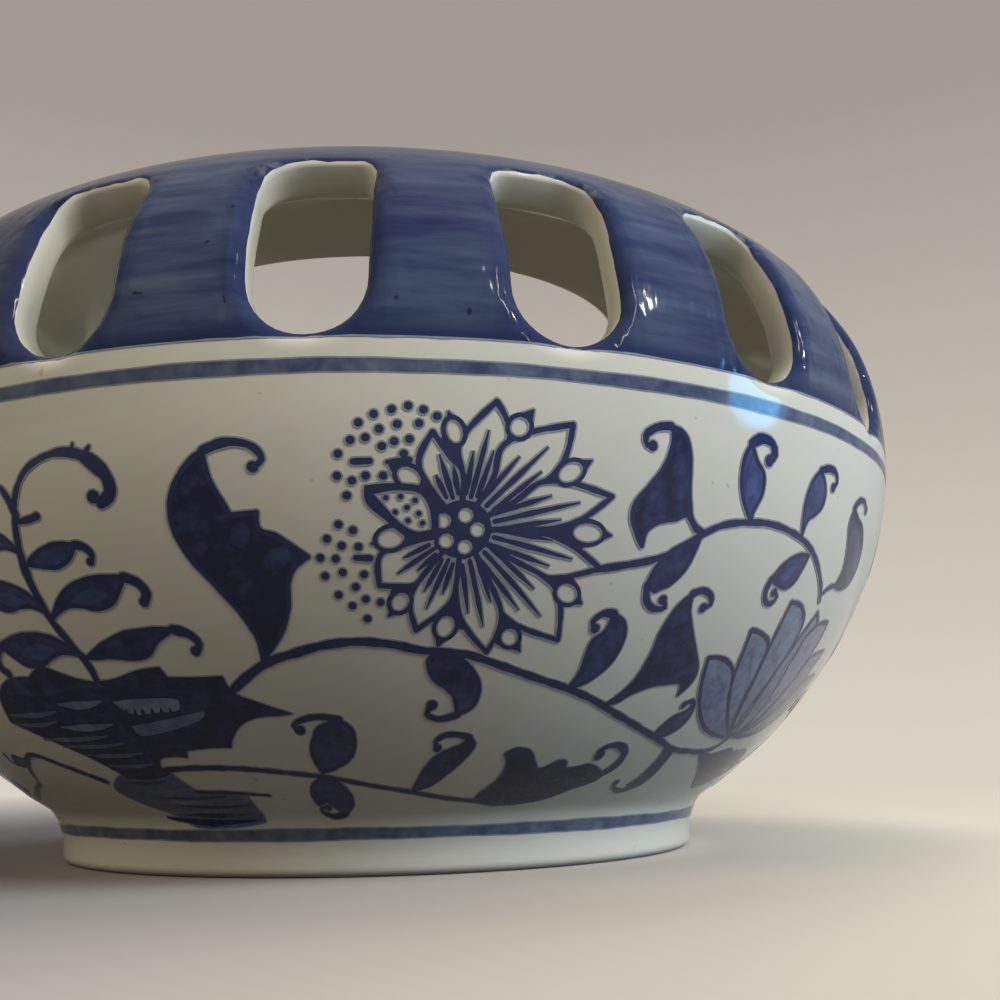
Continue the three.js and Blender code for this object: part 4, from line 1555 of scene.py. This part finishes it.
def wash_finish(name, deep, pale):
    """A wash whose strength is written on the faces of the film."""
    f = Finish(name)
    strength = f.written("wash")
    blots = f.blots(2.6, 1.0, 0.34, 0.66)
    thin = (strength * 0.8 + (blots - 0.5) * 0.65).clamp()
    f.set(Base_Color=f.mix(thin, deep, pale), Roughness=f.glaze())
    return f.material


def band_finish():
    """Cobalt laid on with a wide brush while the jar turned, darker beside the slots, pooled along its
    border, and with wear, painted highlight and painted shade over the slot tops.
    """
    p = paint()
    f = Finish("cobalt_band")
    edge = f.written("edge") + 1.2 * (f.noise(3.0) - 0.5)
    streaks = f.noise(1.0, 4.0, 0.62, f.swept(4.3, 0.52))
    patches = f.noise(6.0, place=f.swept(24.0, 0.8))
    dry = (0.6 * streaks + 0.4 * patches).ramp(0.36, 0.66)
    # Darker beside the slots, over their soft edges and a little past them
    slot_darkening = (1 - edge.ramp(0.4, 2.4)) * 0.75
    border = 1 - (f.axis("Z") + 0.5 * f.noise(4.0)).ramp(p.band_bottom + 0.6, p.band_bottom + 2.2)
    tone = f.mix((dry * (1 - slot_darkening) * (1 - 0.8 * border)).clamp(), p.band_dark, p.band_light)
    tone = f.mix(f.noise(22.0, 1.0).ramp(0.45, 0.65) * 0.3, tone, p.band_purple)
    # Near the slot tops: pale spots, partly wear and partly painted highlight
    brim = (1 - edge.ramp(0.3, 1.0)) * f.axis("Z").ramp(60.5, 63.0)
    tone = f.mix(brim * f.noise(1.6).ramp(0.5, 0.7) * 0.6, tone, p.band_wear_and_highlight)
    # A broken dark line along the slot tops, as painted shade
    tone = f.mix(brim * f.noise(2.3).ramp(0.52, 0.6) * 0.9, tone, p.band_rim_shade)
    speck = f.noise(1.0, 0.0).ramp(0.85, 0.88)
    ripples = 3.0 * (1 - edge.ramp(1.5, 5.5)) * (1 - f.axis("Z").ramp(62.0, 66.0))
    f.set(Base_Color=f.mix(speck * 0.7, tone, p.band_speck), Roughness=f.glaze(ripples))
    return f.material


# The stage

FLOOR_RADIUS = 6000
CAMERA_PLACE = (15.68, -152.87, 11.38)
JAR_MIDDLE = (0, 0, 40)

# The floor's colour changes from painted shadow at the left to painted light at the right between these
# places, and fades into the backdrop this far out
FLOOR_TURNS = (-60.0, 80.0)
FLOOR_FADES = (85.0, 300.0)

# Each lamp has its name, its place, what it is aimed at, its two widths, its power, its tint, and whether the
# glaze mirrors it
WIDE = (330, 330)
LAMPS = (
    ("key", (510, -320, 420), JAR_MIDDLE, WIDE, 3.9, (0.98, 0.99, 1.0), False),
    ("overhead", (-60, 80, 560), JAR_MIDDLE, WIDE, 0.8, (1.0, 0.96, 0.88), False),
    ("fill", (-420, -380, 400), JAR_MIDDLE, WIDE, 1.25, (1.0, 0.86, 0.6), False),
    ("window", (690, -95, 160), (40, -50, 45), (185, 185), 1.1, (0.12, 0.5, 1.0), True),
    ("spot", (413, -225, 324), (30, -50, 50), (15, 22), 0.22, (1.0, 0.97, 0.9), True),
    ("tall", (273, -405, 345), (18, -62, 49), (10, 150), 0.21, (1.0, 0.98, 0.94), True),
)


def make_floor():
    """A wide floor, with painted shadow at the left and painted light at the right, that runs into the
    backdrop without an edge.
    """
    s = studio()
    select()
    bpy.ops.mesh.primitive_circle_add(
        vertices=96, radius=FLOOR_RADIUS * MM, fill_type="NGON", location=(0, 0, 0)
    )
    floor = bpy.context.object
    floor.name = "floor"
    f = Finish("floor")
    away = f.vector("LENGTH", {0: f.place}, "Value") / MM
    straight, glossy, through = f.rays("Camera", "Glossy", "Transmission")
    seen = (straight + glossy + through).clamp()
    # Painted shadow at the left of the floor and painted light at its right
    pale = f.mix(f.axis("X").ramp(*FLOOR_TURNS), s.floor, s.floor_painted_light)
    f.set(Base_Color=f.mix(seen, s.floor_lit, pale), Roughness=1.0, Specular_IOR_Level=0.0)
    plain = f.node("ShaderNodeEmission", {}, {"Color": s.backdrop_low, "Strength": 1.0})
    shader = Shade(f.tree, f.shader.outputs[0])
    f.blend(away.ramp(*FLOOR_FADES) * seen, shader, plain, "Material Output")
    floor.data.materials.append(f.material)


def make_lamp(name, place, aim, size, power, tint, mirrored):
    """A soft oval lamp."""
    select()
    bpy.ops.object.light_add(type="AREA", location=[v * MM for v in place])
    lamp = bpy.context.object
    lamp.name = name
    lamp.data.shape = "ELLIPSE"
    lamp.data.size, lamp.data.size_y = (side * MM for side in size)
    lamp.data.energy = power
    lamp.data.color = tint
    lamp.visible_glossy = mirrored
    lamp.rotation_euler = (Vector(aim) - Vector(place)).to_track_quat("-Z", "Y").to_euler()


def make_world():
    """A soft room, brighter above, behind and at the right, and a backdrop behind the jar."""
    s = studio()
    world = bpy.data.worlds.new("studio")
    bpy.context.scene.world = world
    world.use_nodes = True
    w = Nodes(world.node_tree)
    way = w.node("ShaderNodeTexCoord", {}, {}, "Generated")
    x, y, z = (w.part(way, axis) for axis in "XYZ")
    straight, glossy, through = w.rays("Camera", "Glossy", "Transmission")
    shares = 0.4 + 0.5 * y.ramp(-0.5, 0.9) + 0.55 * z.ramp(-0.1, 0.9) + 0.45 * x.ramp(-0.3, 0.95)
    tint = w.mix(x.ramp(-0.8, 0.6), s.room_left, s.room_right)
    light = {"Color": tint, "Strength": s.room * shares * (1 - 0.5 * glossy)}
    drop = {"Color": w.mix(z.ramp(0.0, 0.5), s.backdrop_low, s.backdrop), "Strength": 1.0}
    shown = (straight + through + glossy * y.ramp(-0.2, 0.6) * 0.6).clamp()
    room, backdrop = (w.node("ShaderNodeBackground", {}, sockets) for sockets in (light, drop))
    w.blend(shown, room, backdrop, "World Output")


def make_camera():
    """The camera, low in front of the jar and looking a little up."""
    s = studio()
    select()
    bpy.ops.object.camera_add(location=[v * MM for v in CAMERA_PLACE])
    camera = bpy.context.object
    camera.data.lens = s.lens
    camera.data.sensor_width = 36.0
    camera.data.clip_start = 0.01
    looking = Euler((math.pi / 2 + s.tilt, 0, 0)).to_matrix() @ Matrix.Rotation(s.roll, 3, "Z")
    camera.rotation_euler = looking.to_euler()
    bpy.context.scene.camera = camera


# The add-on


class JAR_OT_body(bpy.types.Operator):
    """Make the porcelain body"""

    bl_idname = "jar.body"
    bl_label = "Porcelain body"

    def execute(self, context):
        WALL.measure()
        finish_piece(make_body(), porcelain_finish())
        return {"FINISHED"}


class JAR_OT_band(bpy.types.Operator):
    """Paint the blue shoulder"""

    bl_idname = "jar.band"
    bl_label = "Blue shoulder"

    def execute(self, context):
        WALL.measure()
        finish_piece(make_band(), band_finish())
        return {"FINISHED"}


class JAR_OT_lines(bpy.types.Operator):
    """Paint the two lines that go round the jar, and what bled past them and past the shoulder"""

    bl_idname = "jar.lines"
    bl_label = "Painted lines"

    def execute(self, context):
        p = paint()
        WALL.measure()
        material = paint_finish("painted_line", p.ring, 0.8, p.ring_pale)
        bleed = paint_finish("line_bleed", p.bleed_tone, 0.6, p.bleed_pale)
        for name, height in (("shoulder_line", p.shoulder_line), ("foot_line", p.foot_line)):
            finish_piece(make_line(name, height, p.line_width, p.lift), material)
            wide = p.line_width + 2 * p.bleed
            finish_piece(make_line(f"{name}_bleed", height, wide, p.lift / 2), bleed)
        finish_piece(between("band_bleed", p.band_bottom - p.bleed, p.band_bottom), bleed)
        return {"FINISHED"}


class JAR_OT_scroll(bpy.types.Operator):
    """Paint the scroll of flowers and leaves"""

    bl_idname = "jar.scroll"
    bl_label = "Painted scroll"

    def execute(self, context):
        p = paint()
        WALL.measure()
        points, cut = draw_tile()
        for name, tone, material in (
            ("scroll_bleed", BLEED, paint_finish("paint_bleed", p.bleed_tone, 0.6, p.bleed_pale)),
            ("scroll_lines", LINE, paint_finish("scroll_line", p.line, 0.45, p.line_pale)),
            ("leaf_washes", LEAF, wash_finish("leaf_wash", p.leaf, p.leaf_pale)),
            ("petal_washes", PETAL, wash_finish("petal_wash", p.petal, p.petal_pale)),
        ):
            finish_piece(make_film(name, points, cut, tone), material)
        return {"FINISHED"}


class JAR_OT_stage(bpy.types.Operator):
    """Make the floor, the lamps, the backdrop and the camera"""

    bl_idname = "jar.stage"
    bl_label = "Stage"

    def execute(self, context):
        make_floor()
        make_world()
        make_camera()
        for lamp in LAMPS:
            make_lamp(*lamp)
        bpy.context.scene.view_settings.view_transform = "Standard"
        return {"FINISHED"}


STEPS = (JAR_OT_body, JAR_OT_band, JAR_OT_lines, JAR_OT_scroll, JAR_OT_stage)


class JAR_PT_panel(bpy.types.Panel):
    """The steps that make the jar"""

    bl_idname = "JAR_PT_panel"
    bl_label = "Potpourri jar"
    bl_space_type = "VIEW_3D"
    bl_region_type = "UI"
    bl_category = "Potpourri jar"

    def draw(self, context):
        for step in STEPS:
            self.layout.operator(step.bl_idname)


GROUPS = (("jar_shape", JarShape), ("jar_paint", JarPaint), ("jar_studio", JarStudio))


def register():
    for name, group in GROUPS:
        bpy.utils.register_class(group)
        setattr(bpy.types.Scene, name, bpy.props.PointerProperty(type=group))
    for step in (*STEPS, JAR_PT_panel):
        bpy.utils.register_class(step)


def unregister():
    for step in (JAR_PT_panel, *reversed(STEPS)):
        bpy.utils.unregister_class(step)
    for name, group in reversed(GROUPS):
        delattr(bpy.types.Scene, name)
        bpy.utils.unregister_class(group)


def main():
    register()
    bpy.ops.jar.body()
    bpy.ops.jar.band()
    bpy.ops.jar.lines()
    bpy.ops.jar.scroll()
    bpy.ops.jar.stage()


if __name__ == "__main__":
    main()
